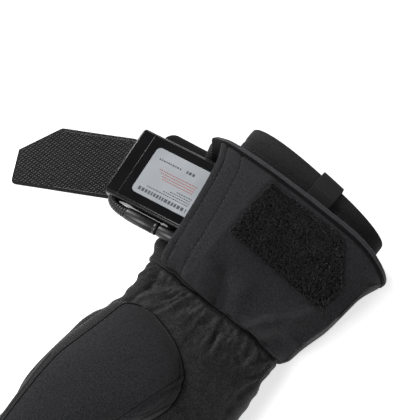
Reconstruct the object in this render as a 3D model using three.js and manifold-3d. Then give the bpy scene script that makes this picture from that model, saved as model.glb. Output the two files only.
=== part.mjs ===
// A heated gauntlet glove for the right hand, lying palm up with its battery pack drawn half out of the cuff
// pocket. Sizes are millimetres. The fingers point to -X, the cuff opens to +X, the thumb side is +Y and the
// palm faces +Z. Inside this file a place along the glove is its distance from the hem towards the fingers.

import * as THREE from "three";
import { mergeVertices } from "three/addons/utils/BufferGeometryUtils.js";
import Module from "manifold-3d";

const wasm = await Module();
wasm.setup();

// Driving sizes, in millimetres and degrees
const clearance = 0.3; // gap between pieces that touch

const gauntletLength = 83; // hem to wrist seam
const gauntletHalfWidth = 70; // at the hem
const gauntletHeight = 50; // at the hem
const gauntletWall = 3;
const panelWall = 2.5; // outer softshell that makes the pocket
const bindingWidth = 4; // rolled edge along the hem
const bindingProud = 0.7;
const hemSweep = 6;

const handLength = 121; // wrist seam to finger roots
const handHalfWidth = 61;
const handHeight = 44;
const handWall = 4; // shell, padding and lining together
const gatherDepth = 1.1; // elastic gathers at the wrist
const puffDepth = 1.4; // puffs between the elastic rows on the back

const fingerWidth = 29; // middle finger at its root
const fingerHeight = 28;
const fingerLength = 84; // middle finger
const fingerCurl = 13; // how far the tips rise towards the palm
const fingerGap = 1.2;

const thumbLength = 128; // from the dome at its base to the tip
const thumbHalfWidth = 37;
const thumbRise = 23; // thickness above the palm
const thumbWall = 3.5;

const cuffReach = 19.5; // how far the knit cuff stands out of the hem
const cuffHalfWidth = 55;
const cuffHeight = 40;
const cuffWall = 2;
const cuffSlant = 4.5; // the rim stands further out at the thumb side

const tabWidth = 16.5;
const tabSide = -8.4; // its middle, from the glove's middle line
const tabLength = 16;
const tabThickness = 1.1;

const batteryLength = 80;
const batteryWidth = 48.5;
const batteryThickness = 15;
const batteryCorner = 4;
const batteryOut = 51; // length of pack outside the pocket mouth
const batteryYaw = 7.5; // turned towards the fingers
const batteryPitch = 11; // outer end hangs lower
const endCapLength = 9;
const labelLength = 58;
const labelWidth = 33;
const labelThickness = 0.5;

const plugDiameter = 8.4;
const plugFromEnd = 18; // the elbow takes this much of the pack's length
const plugLength = 24;
const socketLength = 27;
const leadDiameter = 3.6;

const loopLength = 70;
const loopWidth = 40;
const loopThickness = 1.8;

const strapWidth = 43;
const strapReach = 122; // centre of the anchored end to the tip
const strapThickness = 2;
const strapRoot = 20; // hidden behind the anchor, inside the side seam
const strapRootTaper = 14; // drawn in at the root, so it is sewn clear of the hem
const strapAngle = 29; // turned towards the fingers
const strapFromHem = 18;
const strapChamferLength = 25;
const strapChamferWidth = 19;
const flapReach = 27;
const flapWidth = 46;
const flapThickness = 1.6;

// Small helpers
const radians = THREE.MathUtils.degToRad;
const lerp = THREE.MathUtils.lerp;
const at = (along, side, height) => new THREE.Vector3(-along, side, height);
const softMin = (a, b, blend) => (a + b - Math.hypot(a - b, blend)) / 2;
const softMax = (a, b, blend) => (a + b + Math.hypot(a - b, blend)) / 2;
const steps = (count, pick) => Array.from({ length: count + 1 }, (_, i) => pick(i / count));

// A column of a table at a place between its rows, on a smooth curve through them.
function column(rows, name, place) {
  const last = rows.length - 1;
  let i = 0;
  while (i < last - 1 && place > rows[i + 1].along) i += 1;
  const [before, from, to, after] = [i - 1, i, i + 1, i + 2].map((k) => rows[Math.min(Math.max(k, 0), last)]);
  const span = to.along - from.along;
  const slope = (a, b) => (b.along > a.along ? (b[name] - a[name]) / (b.along - a.along) : 0) * span;
  const t = Math.min(Math.max((place - from.along) / span, 0), 1);
  const [start, end] = [slope(before, to), slope(from, after)];
  const rise = to[name] - from[name];
  return from[name] + t * start + t * t * (3 * rise - 2 * start - end) + t * t * t * (start + end - 2 * rise);
}

// The largest body of a cut solid, without the crumbs and slivers that a cut leaves.
const sliver = 0.06;
function biggest(solid) {
  const bodies = solid.decompose();
  return bodies.reduce((best, body) => (body.volume() > best.volume() ? body : best)).simplify(sliver);
}

// Solids from points
function solidFrom(points, triangles) {
  const geometry = new THREE.BufferGeometry().setFromPoints(points);
  geometry.setIndex(triangles);
  const merged = mergeVertices(geometry, 1e-4);
  const vertProperties = new Float32Array(merged.attributes.position.array);
  const build = (list) =>
    new wasm.Manifold(new wasm.Mesh({ numProp: 3, vertProperties, triVerts: new Uint32Array(list) }));
  const list = Array.from(merged.index.array);
  const solid = build(list);
  return solid.volume() > 0 ? solid : build(list.reverse());
}

function solidOf(geometry, matrix = new THREE.Matrix4()) {
  const bare = new THREE.BufferGeometry().setAttribute("position", geometry.getAttribute("position").clone());
  if (geometry.index) bare.setIndex(geometry.index.clone());
  const merged = mergeVertices(bare.applyMatrix4(matrix), 1e-4);
  return new wasm.Manifold(
    new wasm.Mesh({
      numProp: 3,
      vertProperties: new Float32Array(merged.attributes.position.array),
      triVerts: new Uint32Array(merged.index.array),
    }),
  );
}

// A solid through closed rings of equal count, with a flat fan over each end.
function loft(rings) {
  const count = rings[0].length;
  const points = rings.flat();
  const triangles = [];
  for (let r = 0; r < rings.length - 1; r += 1) {
    for (let k = 0; k < count; k += 1) {
      const next = (k + 1) % count;
      const [a, b] = [r * count + k, r * count + next];
      triangles.push(a, b, a + count, b, b + count, a + count);
    }
  }
  [0, rings.length - 1].forEach((r, end) => {
    const centre = points.length;
    const sum = rings[r].reduce((total, p) => total.add(p), new THREE.Vector3());
    points.push(sum.divideScalar(count));
    for (let k = 0; k < count; k += 1) {
      const edge = [r * count + k, r * count + ((k + 1) % count)];
      triangles.push(...(end ? edge : edge.reverse()), centre);
    }
  });
  return solidFrom(points, triangles);
}

// A sheet with thickness: pointAt(u, v, layer) gives its under side at layer 0 and its top at layer 1.
function sheet(pointAt, across, along) {
  const points = [];
  const index = (layer, i, j) => (layer * (across + 1) + i) * (along + 1) + j;
  for (const layer of [0, 1]) {
    for (let i = 0; i <= across; i += 1) {
      for (let j = 0; j <= along; j += 1) points.push(pointAt(i / across, j / along, layer));
    }
  }
  const triangles = [];
  const quad = (a, b, c, d) => triangles.push(a, b, c, a, c, d);
  for (let i = 0; i < across; i += 1) {
    for (let j = 0; j < along; j += 1) {
      quad(index(1, i, j), index(1, i + 1, j), index(1, i + 1, j + 1), index(1, i, j + 1));
      quad(index(0, i, j), index(0, i, j + 1), index(0, i + 1, j + 1), index(0, i + 1, j));
    }
  }
  for (let i = 0; i < across; i += 1) {
    quad(index(0, i, 0), index(0, i + 1, 0), index(1, i + 1, 0), index(1, i, 0));
    quad(index(0, i + 1, along), index(0, i, along), index(1, i, along), index(1, i + 1, along));
  }
  for (let j = 0; j < along; j += 1) {
    quad(index(0, 0, j + 1), index(0, 0, j), index(1, 0, j), index(1, 0, j + 1));
    quad(index(0, across, j), index(0, across, j + 1), index(1, across, j + 1), index(1, across, j));
  }
  return solidFrom(points, triangles);
}

// A closed band round the glove: pointAt(turn, around) wraps in both.
function band(pointAt, turns, sides) {
  const points = [];
  const triangles = [];
  for (let i = 0; i < turns; i += 1) {
    for (let j = 0; j < sides; j += 1) {
      points.push(pointAt(i / turns, j / sides));
      const [a, b] = [i * sides + j, i * sides + ((j + 1) % sides)];
      const [c, d] = [((i + 1) % turns) * sides + j, ((i + 1) % turns) * sides + ((j + 1) % sides)];
      triangles.push(a, b, d, a, d, c);
    }
  }
  return solidFrom(points, triangles);
}

// A flat outline in the plane of X and Y, made thick upwards.
function plate(outline, thickness, matrix) {
  const settings = { depth: thickness, bevelEnabled: false, curveSegments: 4 };
  return solidOf(new THREE.ExtrudeGeometry(outline, settings), matrix);
}

function roundedRectangle(width, length, corner) {
  const [x, y] = [width / 2, length / 2];
  const outline = new THREE.Shape();
  outline.moveTo(-x + corner, -y);
  outline.lineTo(x - corner, -y).absarc(x - corner, -y + corner, corner, -Math.PI / 2, 0, false);
  outline.lineTo(x, y - corner).absarc(x - corner, y - corner, corner, 0, Math.PI / 2, false);
  outline.lineTo(-x + corner, y).absarc(-x + corner, y - corner, corner, Math.PI / 2, Math.PI, false);
  outline.lineTo(-x, -y + corner).absarc(-x + corner, -y + corner, corner, Math.PI, Math.PI * 1.5, false);
  return outline;
}

// Battery seat: the plane that the pack lies on, over the thumb side of the gauntlet
const yaw = radians(batteryYaw);
const pitch = radians(batteryPitch);
const mouthMiddle = { along: gauntletLength * 0.45, side: gauntletHalfWidth * 0.73 };
const seatAtMouth = gauntletHeight * 0.62;

// Height of the pocket's back wall under the pack.
function seatHeight(along, side) {
  const outwards = (along - mouthMiddle.along) * Math.sin(yaw) + (side - mouthMiddle.side) * Math.cos(yaw);
  return seatAtMouth - Math.tan(pitch) * outwards;
}

// Limits of the pocket along the glove, which clear the pack and the plug beside it.
const pocketHemEnd = gauntletLength * 0.12;
const pocketWristEnd = pocketHemEnd + batteryWidth + plugDiameter + 8 * clearance;
const beyondPocket = (along) => [Math.max(0, pocketHemEnd - along), Math.max(0, along - pocketWristEnd)];

// Outer surface of the gauntlet tube. Widths are shares of its half width, tops of its height.
const gauntletSections = [
  { along: 0, thumb: 1.0, little: 0.96, top: 1.0 },
  { along: 0.2, thumb: 0.94, little: 0.88, top: 0.91 },
  { along: 0.42, thumb: 0.89, little: 0.85, top: 0.85 },
  { along: 0.6, thumb: 0.86, little: 0.82, top: 0.82 },
  { along: 0.8, thumb: 0.82, little: 0.76, top: 0.8 },
  { along: 1.0, thumb: 0.79, little: 0.73, top: 0.8 },
];

const squareness = 2.3; // 2 is an ellipse, more is boxier
const squared = (value) => Math.sign(value) * Math.abs(value) ** (2 / squareness);
const floorSag = 0.11; // share of a height pressed flat by the floor

// A point of a closed section. The turn runs from 0 at the little-finger side over the top to the
// thumb side.
function sectionPoint(section, turn, grow) {
  const [c, s] = [Math.cos(turn), Math.sin(turn)];
  const half = (c > 0 ? section.little : section.thumb) + grow;
  const side = -half * squared(c);
  const middle = (section.bottom + section.top) / 2;
  const low = middle - section.bottom + floorSag * (section.top - section.bottom);
  const reach = (s > 0 ? section.top - middle : low) + grow;
  const height = middle + reach * squared(s);
  return { side: section.centre + side, height: Math.max(height, section.bottom - grow) };
}

function gauntletSection(along) {
  const place = along / gauntletLength;
  return {
    centre: 0,
    bottom: 0,
    thumb: gauntletHalfWidth * column(gauntletSections, "thumb", place),
    little: gauntletHalfWidth * column(gauntletSections, "little", place),
    top: gauntletHeight * column(gauntletSections, "top", place),
  };
}

// The hem runs back towards the fingers at the little-finger edge.
function swept(along, side) {
  const edge = Math.max(0, -side / gauntletHalfWidth - 0.55) / 0.45;
  return along + hemSweep * edge * edge * Math.max(0, 1 - Math.max(along, 0) / gauntletLength);
}

// Soft folds of the top: a dent at the wrist seam and a ridge towards the little-finger edge.
// Places are shares of the length and half width, each size a share of the gauntlet's height, and the
// turn is in degrees.
const gauntletFolds = [
  { along: 0.93, side: -0.04, rise: -0.055, long: 0.4, wide: 0.13, turned: 12 },
  { along: 0.74, side: -0.52, rise: 0.045, long: 0.62, wide: 0.13, turned: 34 },
  { along: 0.8, side: -0.74, rise: -0.05, long: 0.5, wide: 0.15, turned: 30 },
  { along: 0.96, side: 0.3, rise: 0.02, long: 0.3, wide: 0.16, turned: 0 },
];

function foldRise(along, side) {
  return gauntletFolds.reduce((sum, fold) => {
    const ahead = along - fold.along * gauntletLength;
    const beside = side - fold.side * gauntletHalfWidth;
    const angle = radians(fold.turned);
    const down = (ahead * Math.cos(angle) + beside * Math.sin(angle)) / (fold.long * gauntletHeight);
    const across = (beside * Math.cos(angle) - ahead * Math.sin(angle)) / (fold.wide * gauntletHeight);
    return sum + fold.rise * gauntletHeight * Math.exp(-down * down - across * across);
  }, 0);
}

// A point of the gauntlet tube, whose top is pressed down to the pack's seat.
function gauntletPoint(along, turn, grow) {
  const flat = sectionPoint(gauntletSection(along), turn, grow);
  const [side, height] = [flat.side, flat.height + Math.max(0, Math.sin(turn)) * foldRise(along, flat.side)];
  if (Math.sin(turn) <= 0) return at(swept(along, side), side, height);
  const [hemSide, wristSide] = beyondPocket(along);
  const seat = seatHeight(along, side) + 1.3 * hemSide + 1.2 * wristSide + grow;
  const floor = Math.min(height, gauntletSection(along).top / 3);
  return at(swept(along, side), side, Math.max(softMin(height, seat, 1.5), floor));
}

const ring = (pointAt, count) => steps(count, (t) => pointAt(t * 2 * Math.PI)).slice(0, count);
const roundTurns = 36; // points round the tube, the cuff inside it and the hand
const gauntletRing = (along, grow) => ring((turn) => gauntletPoint(along, turn, grow), roundTurns);
const gauntletPlaces = [0, 0.06, 0.12, 0.24, 0.42, 0.6, 0.78, 0.9, 1];
const gauntletStations = gauntletPlaces.map((place) => place * gauntletLength);

// Gauntlet tube: lining side of the palm, the back and both edges
function makeGauntlet() {
  const outer = loft(gauntletStations.map((along) => gauntletRing(along, 0)));
  const ends = [-1, ...gauntletStations, gauntletLength + 1];
  const inner = loft(
    ends.map((along) => {
      const inside = Math.min(Math.max(along, 0), gauntletLength);
      return gauntletRing(inside, -gauntletWall).map((p) => p.setX(p.x + inside - along));
    }),
  );
  return biggest(outer.subtract(inner));
}

// The tube with a clearance round it, for what is cut to lie on it.
const gauntletClear = () =>
  loft(
    [-2 * bindingWidth, ...gauntletStations, gauntletLength + 1].map((along) => {
      const inside = Math.min(Math.max(along, 0), gauntletLength);
      return gauntletRing(inside, clearance).map((p) => p.setX(p.x + inside - along));
    }),
  );

// Pocket panel: the outer softshell, open along its thumb edge. The mouth is a share of the half width.
const mouthEdge = [
  { along: 0, side: 0.86 },
  { along: 0.17, side: 0.76 },
  { along: 0.73, side: 0.64 },
  { along: 1, side: 0.61 },
];
const panelWrap = radians(-24); // how far it wraps below the little-finger side

function turnAtSide(section, side) {
  return Math.PI - Math.acos(Math.min(side / section.thumb, 1) ** (squareness / 2));
}

function panelPoint(along, turn, grow) {
  const flat = sectionPoint(gauntletSection(along), turn, grow);
  const [side, height] = [flat.side, flat.height + Math.max(0, Math.sin(turn)) * foldRise(along, flat.side)];
  if (Math.sin(turn) <= 0) return at(swept(along, side), side, height);
  const [hemSide, wristSide] = beyondPocket(along);
  const packTop = seatHeight(along, side) + batteryThickness / Math.cos(pitch) + 3 * clearance;
  const packEnd = mouthMiddle.side - (batteryLength - batteryOut);
  const crest = seatHeight(along, packEnd) + batteryThickness / Math.cos(pitch) + 4 * clearance;
  const tent = crest - 0.25 * (packEnd - side);
  const lifted = Math.min(packTop, tent) - 0.5 * hemSide - 0.9 * wristSide + grow;
  return at(swept(along, side), side, softMax(height, lifted, 2));
}

function panelTurn(along, share) {
  const mouth = gauntletHalfWidth * column(mouthEdge, "side", along / gauntletLength);
  return lerp(panelWrap, turnAtSide(gauntletSection(along), mouth), share);
}

// The panel between two offsets from the tube, so the same sheet also gives the space that it takes.
function panelSheet(low, high) {
  const [start, end] = [clearance, gauntletLength - clearance];
  return sheet(
    (u, v, layer) => {
      const along = lerp(start, end, u);
      return panelPoint(along, panelTurn(along, v), layer ? high : low);
    },
    10,
    16,
  );
}

const panelTop = clearance + panelWall;
const makePanel = () => biggest(panelSheet(0, panelTop).subtract(gauntletClear()));

// Rolled binding that closes the hem over the tube and the panel
function makeBinding() {
  const halfWidth = bindingWidth / 2;
  const centreAlong = -clearance - halfWidth;
  return band(
    (round, around) => {
      const turn = round * 2 * Math.PI;
      const mouthTurn = panelTurn(0, 1);
      const overPanel = turn < mouthTurn || turn > 2 * Math.PI + panelWrap;
      const outer = bindingProud + (overPanel ? panelTop : 0);
      const inner = -gauntletWall;
      const angle = around * 2 * Math.PI;
      const grow = lerp(inner, outer, (Math.sin(angle) + 1) / 2);
      const { side, height } = sectionPoint(gauntletSection(0), turn, grow);
      return at(swept(centreAlong - halfWidth * Math.cos(angle), side), side, Math.max(height, 0));
    },
    roundTurns,
    6,
  );
}

// Knit cuff: a flattened sleeve from the wrist out through the hem
const cuffSections = [
  { along: 0, width: 1.0, top: 1.0 },
  { along: 0.2, width: 0.99, top: 0.98 },
  { along: 0.45, width: 0.92, top: 0.86 },
  { along: 0.75, width: 0.87, top: 0.83 },
  { along: 1.0, width: 0.83, top: 0.8 },
];
const cuffStart = -cuffReach;
const cuffEnd = gauntletLength - 2 * clearance;
const cuffBow = 2.5; // the rim bows outwards over the top

function cuffPoint(place, turn, grow) {
  const along = lerp(cuffStart, cuffEnd, place);
  const inside = Math.min(Math.max(along, 0), gauntletLength);
  const gauntlet = gauntletSection(inside);
  const fit = gauntletWall + 2 * clearance;
  const half = Math.min(cuffHalfWidth * column(cuffSections, "width", place), gauntlet.little - fit);
  const top = Math.min(cuffHeight * column(cuffSections, "top", place) + fit, gauntlet.top - fit);
  const section = { centre: 0, bottom: fit, thumb: half, little: half, top };
  const flat = sectionPoint(section, turn, grow);
  const [side, height] = [flat.side, flat.height + Math.max(0, Math.sin(turn)) * foldRise(inside, flat.side)];
  const seat = seatHeight(inside, side) - fit + 0.5 * Math.max(0, -along) + grow;
  const [hemSide, wristSide] = beyondPocket(inside);
  const pressed = Math.sin(turn) > 0 ? softMin(height, seat + 1.3 * hemSide + wristSide, 1.5) : height;
  const outwards = Math.max(0, -along / cuffReach);
  const bow = (cuffBow * Math.max(0, Math.sin(turn)) + (cuffSlant * side) / cuffHalfWidth) * outwards;
  return at(along - bow, side, Math.max(pressed, section.bottom - grow));
}

function makeCuff() {
  const outside = [cuffStart, cuffStart * 0.55, cuffStart * 0.2];
  const inside = [...gauntletStations.slice(0, -1), cuffEnd];
  const places = [...outside, ...inside].map((along) => (along - cuffStart) / (cuffEnd - cuffStart));
  const ringAt = (place, grow) => ring((turn) => cuffPoint(place, turn, grow), roundTurns);
  const outer = loft(places.map((place) => ringAt(place, 0)));
  const open = (place, shift) => ringAt(place, -cuffWall).map((p) => p.setX(p.x + shift));
  const innerPlaces = places.filter((place, i) => i % 2 === 0 || place === 1);
  const inner = loft([open(0, 2), ...innerPlaces.map((place) => ringAt(place, -cuffWall)), open(1, -2)]);
  return outer.subtract(inner);
}

// Pull tab folded over the rim of the knit cuff
function makeTab() {
  const turnAt = (side) => Math.acos(-Math.sign(side) * (Math.abs(side) / cuffHalfWidth) ** (squareness / 2));
  const turns = [tabSide + tabWidth / 2, tabSide - tabWidth / 2].map(turnAt);
  const cuffLength = cuffEnd - cuffStart;
  return sheet(
    (u, v, layer) => {
      const turn = lerp(turns[0], turns[1], u);
      const proud = clearance + layer * tabThickness;
      const leg = Math.abs(v * 2 - 1);
      const outside = v > 0.5;
      if (leg > 0.25) {
        const place = ((leg - 0.25) / 0.75) * (tabLength / cuffLength);
        return cuffPoint(place, turn, outside ? proud : -cuffWall - proud);
      }
      const share = (v * 2 - 1) / 0.25;
      const bend = (share * Math.PI) / 2;
      const middle = cuffPoint(0, turn, -cuffWall / 2);
      const radius = cuffWall / 2 + proud;
      return middle.add(new THREE.Vector3(radius * Math.cos(bend), 0, radius * Math.sin(bend)));
    },
    3,
    12,
  );
}

// Loop patch: fuzzy half of the closure, on the panel, with the corner nearest the hem cut off
const loopFromHem = 5;
const loopThumbEdge = 18.5; // side of the glove's middle line
function makeLoopPatch() {
  const chamfer = { length: 15.5, width: loopWidth / 2 };
  return sheet(
    (u, v, layer) => {
      const across = u * loopWidth;
      const cut = chamfer.length * Math.max(0, 1 - across / chamfer.width);
      const along = loopFromHem + across;
      const farSide = loopThumbEdge - (loopLength - cut);
      const target = lerp(loopThumbEdge, farSide, v);
      const section = gauntletSection(along);
      const half = (target > 0 ? section.thumb : section.little) + panelTop;
      const lean = Math.acos(Math.min(Math.abs(target) / half, 1) ** (squareness / 2));
      const turn = target > 0 ? Math.PI - lean : lean;
      const base = panelPoint(along, turn, panelTop);
      const beside = panelPoint(along, turn + 0.02, panelTop);
      const slope = Math.atan2(beside.z - base.z, beside.y - base.y);
      const proud = layer ? clearance + loopThickness : -clearance;
      return base.add(new THREE.Vector3(0, -Math.sin(slope) * proud, Math.cos(slope) * proud));
    },
    6,
    10,
  ).subtract(panelSheet(0, panelTop + clearance));
}

// Hand: palm body and four fingers. Widths are shares of handHalfWidth, heights of handHeight.
const handSections = [
  { along: 0, thumb: 0.86, little: 0.82, top: 0.86, bottom: 0.03 },
  { along: 0.07, thumb: 0.83, little: 0.8, top: 0.83, bottom: 0.05 },
  { along: 0.14, thumb: 0.83, little: 0.82, top: 0.86, bottom: 0.04 },
  { along: 0.23, thumb: 0.83, little: 0.85, top: 0.93, bottom: 0.0 },
  { along: 0.33, thumb: 0.89, little: 0.86, top: 0.97, bottom: 0.0 },
  { along: 0.43, thumb: 0.97, little: 0.87, top: 1.0, bottom: 0.0 },
  { along: 0.56, thumb: 1.0, little: 0.89, top: 1.0, bottom: 0.0 },
  { along: 0.72, thumb: 1.03, little: 0.9, top: 0.96, bottom: 0.0 },
  { along: 0.86, thumb: 1.04, little: 0.91, top: 0.86, bottom: 0.0 },
  { along: 0.95, thumb: 1.02, little: 0.9, top: 0.71, bottom: 0.01 },
  { along: 1.0, thumb: 0.98, little: 0.86, top: 0.6, bottom: 0.05 },
  { along: 1.04, thumb: 0.92, little: 0.8, top: 0.46, bottom: 0.13 },
];
const handStart = gauntletLength + clearance;
const wristTuck = { thumb: 0.95, little: 0.98, reach: 0.07 }; // the hand's wrist, inside the gauntlet's
const gatherLobes = 11;
const puffPitch = 12;

// Half width of the hand, which meets the gauntlet at the wrist seam.
function handHalf(name, place) {
  const half = handHalfWidth * column(handSections, name, place);
  const atWrist = gauntletSection(gauntletLength)[name] * wristTuck[name];
  return lerp(half, atWrist, Math.max(0, 1 - place / wristTuck.reach));
}

function handPoint(along, turn, grow) {
  const place = (along - handStart) / handLength;
  const section = {
    centre: 0,
    bottom: Math.max(0, handHeight * column(handSections, "bottom", place)),
    thumb: handHalf("thumb", place),
    little: handHalf("little", place),
    top: handHeight * column(handSections, "top", place),
  };
  const nearWrist = grow < 0 ? 0 : Math.max(0, 1 - Math.abs(place - 0.1) / 0.16);
  const upwards = Math.max(0, Math.sin(turn));
  const gather = gatherDepth * nearWrist * upwards * Math.cos(gatherLobes * 2 * turn);
  const nearCuff = grow < 0 ? 0 : Math.max(0, 1 - Math.abs(place - 0.16) / 0.22);
  const wave = Math.cos((2 * Math.PI * along) / puffPitch);
  const puff = puffDepth * nearCuff * Math.max(0, -Math.cos(turn)) * wave;
  const { side, height } = sectionPoint(section, turn, grow + gather + puff);
  return at(along, side, Math.max(height, section.bottom - grow));
}

const handPlaces = [0, 0.04, 0.08, 0.12, 0.16, 0.21, 0.27, 0.35, 0.43, 0.56, 0.72, 0.86, 0.95, 1, 1.04];
const handInnerPlaces = [0, 0.08, 0.21, 0.35, 0.56, 0.86, 0.95, 1];
const handRing = (along, grow) => ring((turn) => handPoint(along, turn, grow), 44);

// The four fingers. Widths and lengths are shares of the middle finger's, spread is in degrees.
const fingers = [
  { name: "index", width: 1.0, length: 0.92, spread: 1.8, root: 0.985 },
  { name: "middle", width: 1.03, length: 1.0, spread: 0.4, root: 1.0 },
  { name: "ring", width: 0.97, length: 0.93, spread: -1, root: 0.99 },
  { name: "little", width: 0.87, length: 0.76, spread: -3, root: 0.955 },
];
const fingerRows = [
  { along: -0.28, width: 0.98, height: 0.98 },
  { along: 0.0, width: 1.0, height: 1.0 },
  { along: 0.3, width: 1.01, height: 0.98 },
  { along: 0.6, width: 0.98, height: 0.93 },
  { along: 0.82, width: 0.9, height: 0.84 },
  { along: 0.93, width: 0.74, height: 0.67 },
  { along: 0.985, width: 0.46, height: 0.42 },
];

function placeFingers() {
  let edge = handHalfWidth * 0.99;
  return fingers.map((finger) => {
    const width = finger.width * fingerWidth;
    const centre = edge - width / 2;
    edge -= width + fingerGap;
    return { ...finger, width, centre, length: finger.length * fingerLength };
  });
}

function fingerRings(finger, grow) {
  const root = handStart + finger.root * handLength;
  return fingerRows.map((row) => {
    const shrink = row.along > 0.9 ? grow * 0.6 : 0;
    const along = root + row.along * finger.length + shrink;
    const reach = Math.max(0, row.along);
    const side = finger.centre + Math.tan(radians(finger.spread)) * reach * finger.length;
    const middle = fingerHeight * 0.56 + fingerCurl * reach * reach;
    const halfWidth = (finger.width * row.width) / 2 + grow;
    const halfHeight = (fingerHeight * row.height) / 2 + grow;
    return ring((turn) => {
      const [c, s] = [squared(Math.cos(turn)), squared(Math.sin(turn))];
      return at(along, side - halfWidth * c, Math.max(middle + halfHeight * s, -grow));
    }, 12);
  });
}

// Thumb: a dome over the ball of the thumb that narrows to a tube lying over the index finger's root
const thumbSections = [
  { along: 0.0, centre: 0.44, width: 0.12, top: -0.15 },
  { along: 0.015, centre: 0.425, width: 0.32, top: -0.02 },
  { along: 0.05, centre: 0.39, width: 0.6, top: 0.17 },
  { along: 0.12, centre: 0.31, width: 0.82, top: 0.42 },
  { along: 0.19, centre: 0.28, width: 0.92, top: 0.6 },
  { along: 0.28, centre: 0.28, width: 0.98, top: 0.78 },
  { along: 0.385, centre: 0.325, width: 0.97, top: 0.92 },
  { along: 0.46, centre: 0.385, width: 0.87, top: 0.99 },
  { along: 0.6, centre: 0.47, width: 0.68, top: 1.02 },
  { along: 0.78, centre: 0.505, width: 0.57, top: 0.98 },
  { along: 0.9, centre: 0.52, width: 0.48, top: 0.86 },
  { along: 0.965, centre: 0.525, width: 0.36, top: 0.68 },
  { along: 1.0, centre: 0.53, width: 0.2, top: 0.5 },
];
const thumbStart = handStart + 0.225 * handLength;

function thumbRings(grow) {
  return thumbSections.map((row) => {
    const ends = row.along === 0 ? -grow : row.along > 0.95 ? grow : 0;
    const along = thumbStart + row.along * thumbLength + ends;
    const centre = row.centre * handHalfWidth;
    const half = row.width * thumbHalfWidth + grow;
    const top = handHeight + row.top * thumbRise + grow;
    const freed = Math.min(Math.max((row.along - 0.38) / 0.2, 0), 1);
    const tuck = 0.4 * handHeight;
    const underside = row.along > 0.9 ? (row.along - 0.9) * 30 : 0;
    const bottom = lerp(handHeight - tuck, handHeight + 1 + underside, freed) - grow;
    const middle = (top + bottom) / 2;
    return ring((turn) => {
      const [c, s] = [squared(Math.cos(turn)), squared(Math.sin(turn))];
      return at(along, centre - half * c, middle + ((top - bottom) / 2) * s);
    }, 20);
  });
}

// Everything above the side seam, as one block. The seam follows the middle of the hand and the fingers.
function aboveSeam(shift) {
  const rows = steps(8, (t) => {
    const reach = Math.max(0, (t * (handLength + fingerLength) - handLength) / fingerLength);
    const height = fingerHeight * 0.56 + fingerCurl * reach * reach + shift;
    return [handStart + t * (handLength + fingerLength) * 1.02 - 1, height];
  });
  const [far, high] = [handHalfWidth * 3, handHeight * 4];
  const [tipAlong, tipHeight] = rows.at(-1);
  const beyond = tipAlong + fingerLength;
  const profile = [...rows, [beyond, tipHeight + fingerCurl], [beyond, high], [0, high], [0, rows[0][1]]];
  return loft([-far, far].map((side) => profile.map(([along, height]) => at(along, side, height))));
}

function makeHand() {
  const placed = placeFingers();
  const union = (solids) => solids.reduce((sum, solid) => sum.add(solid));
  const stations = handPlaces.map((place) => handStart + place * handLength);
  const outer = union([
    loft(stations.map((along) => handRing(along, 0))),
    ...placed.map((finger) => loft(fingerRings(finger, 0))),
  ]);
  const innerStations = handInnerPlaces.map((place) => handStart + place * handLength);
  const mouth = handRing(handStart, -handWall).map((p) => p.setX(-handStart + 2));
  const inner = union([
    loft([mouth, ...innerStations.map((along) => handRing(along, -handWall))]),
    ...placed.map((finger) => loft(fingerRings(finger, -handWall))),
  ]);
  const thumbOuter = loft(thumbRings(0));
  const thumbInner = loft(thumbRings(-thumbWall));
  const palmClear = union([
    loft(stations.map((along) => handRing(along, clearance))),
    ...placed.map((finger) => loft(fingerRings(finger, clearance))),
  ]);
  const shell = outer.subtract(inner).subtract(thumbInner);
  const above = aboveSeam(clearance / 2);
  return {
    palm: biggest(shell.intersect(above)),
    back: biggest(shell.subtract(aboveSeam(-clearance / 2))),
    thumb: biggest(thumbOuter.subtract(thumbInner).subtract(palmClear)),
  };
}

// Closure strap and pocket flap, both sewn to the thumb side of the tube
function makeStrap() {
  const half = strapWidth / 2;
  const corner = 3;
  const outline = new THREE.Shape();
  outline.moveTo(half - strapRootTaper, -strapRoot);
  outline.lineTo(half, strapReach * 0.4);
  outline.lineTo(half, strapReach - strapChamferLength);
  outline.lineTo(half - strapChamferWidth, strapReach);
  outline.lineTo(-half + corner, strapReach);
  outline.absarc(-half + corner, strapReach - corner, corner, Math.PI / 2, Math.PI, false);
  outline.lineTo(-half, -strapRoot);
  const drop = Math.asin((gauntletHeight * 0.16) / strapReach);
  const tilt = new THREE.Euler(-drop, 0, radians(strapAngle), "ZXY");
  const place = new THREE.Matrix4().makeRotationFromEuler(tilt);
  place.setPosition(at(strapFromHem, gauntletHalfWidth * 0.89, gauntletHeight * 0.17));
  return biggest(plate(outline, strapThickness, place).subtract(gauntletClear()));
}

function makeFlap() {
  const outline = roundedRectangle(flapWidth, 2 * flapReach, 7);
  const tilt = new THREE.Euler(-pitch * 0.6, 0, yaw, "ZXY");
  const place = new THREE.Matrix4().makeRotationFromEuler(tilt);
  place.setPosition(at(flapWidth / 2 + bindingWidth, gauntletHalfWidth * 0.92, gauntletHeight * 0.42));
  return biggest(plate(outline, flapThickness, place).subtract(gauntletClear()));
}

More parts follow.
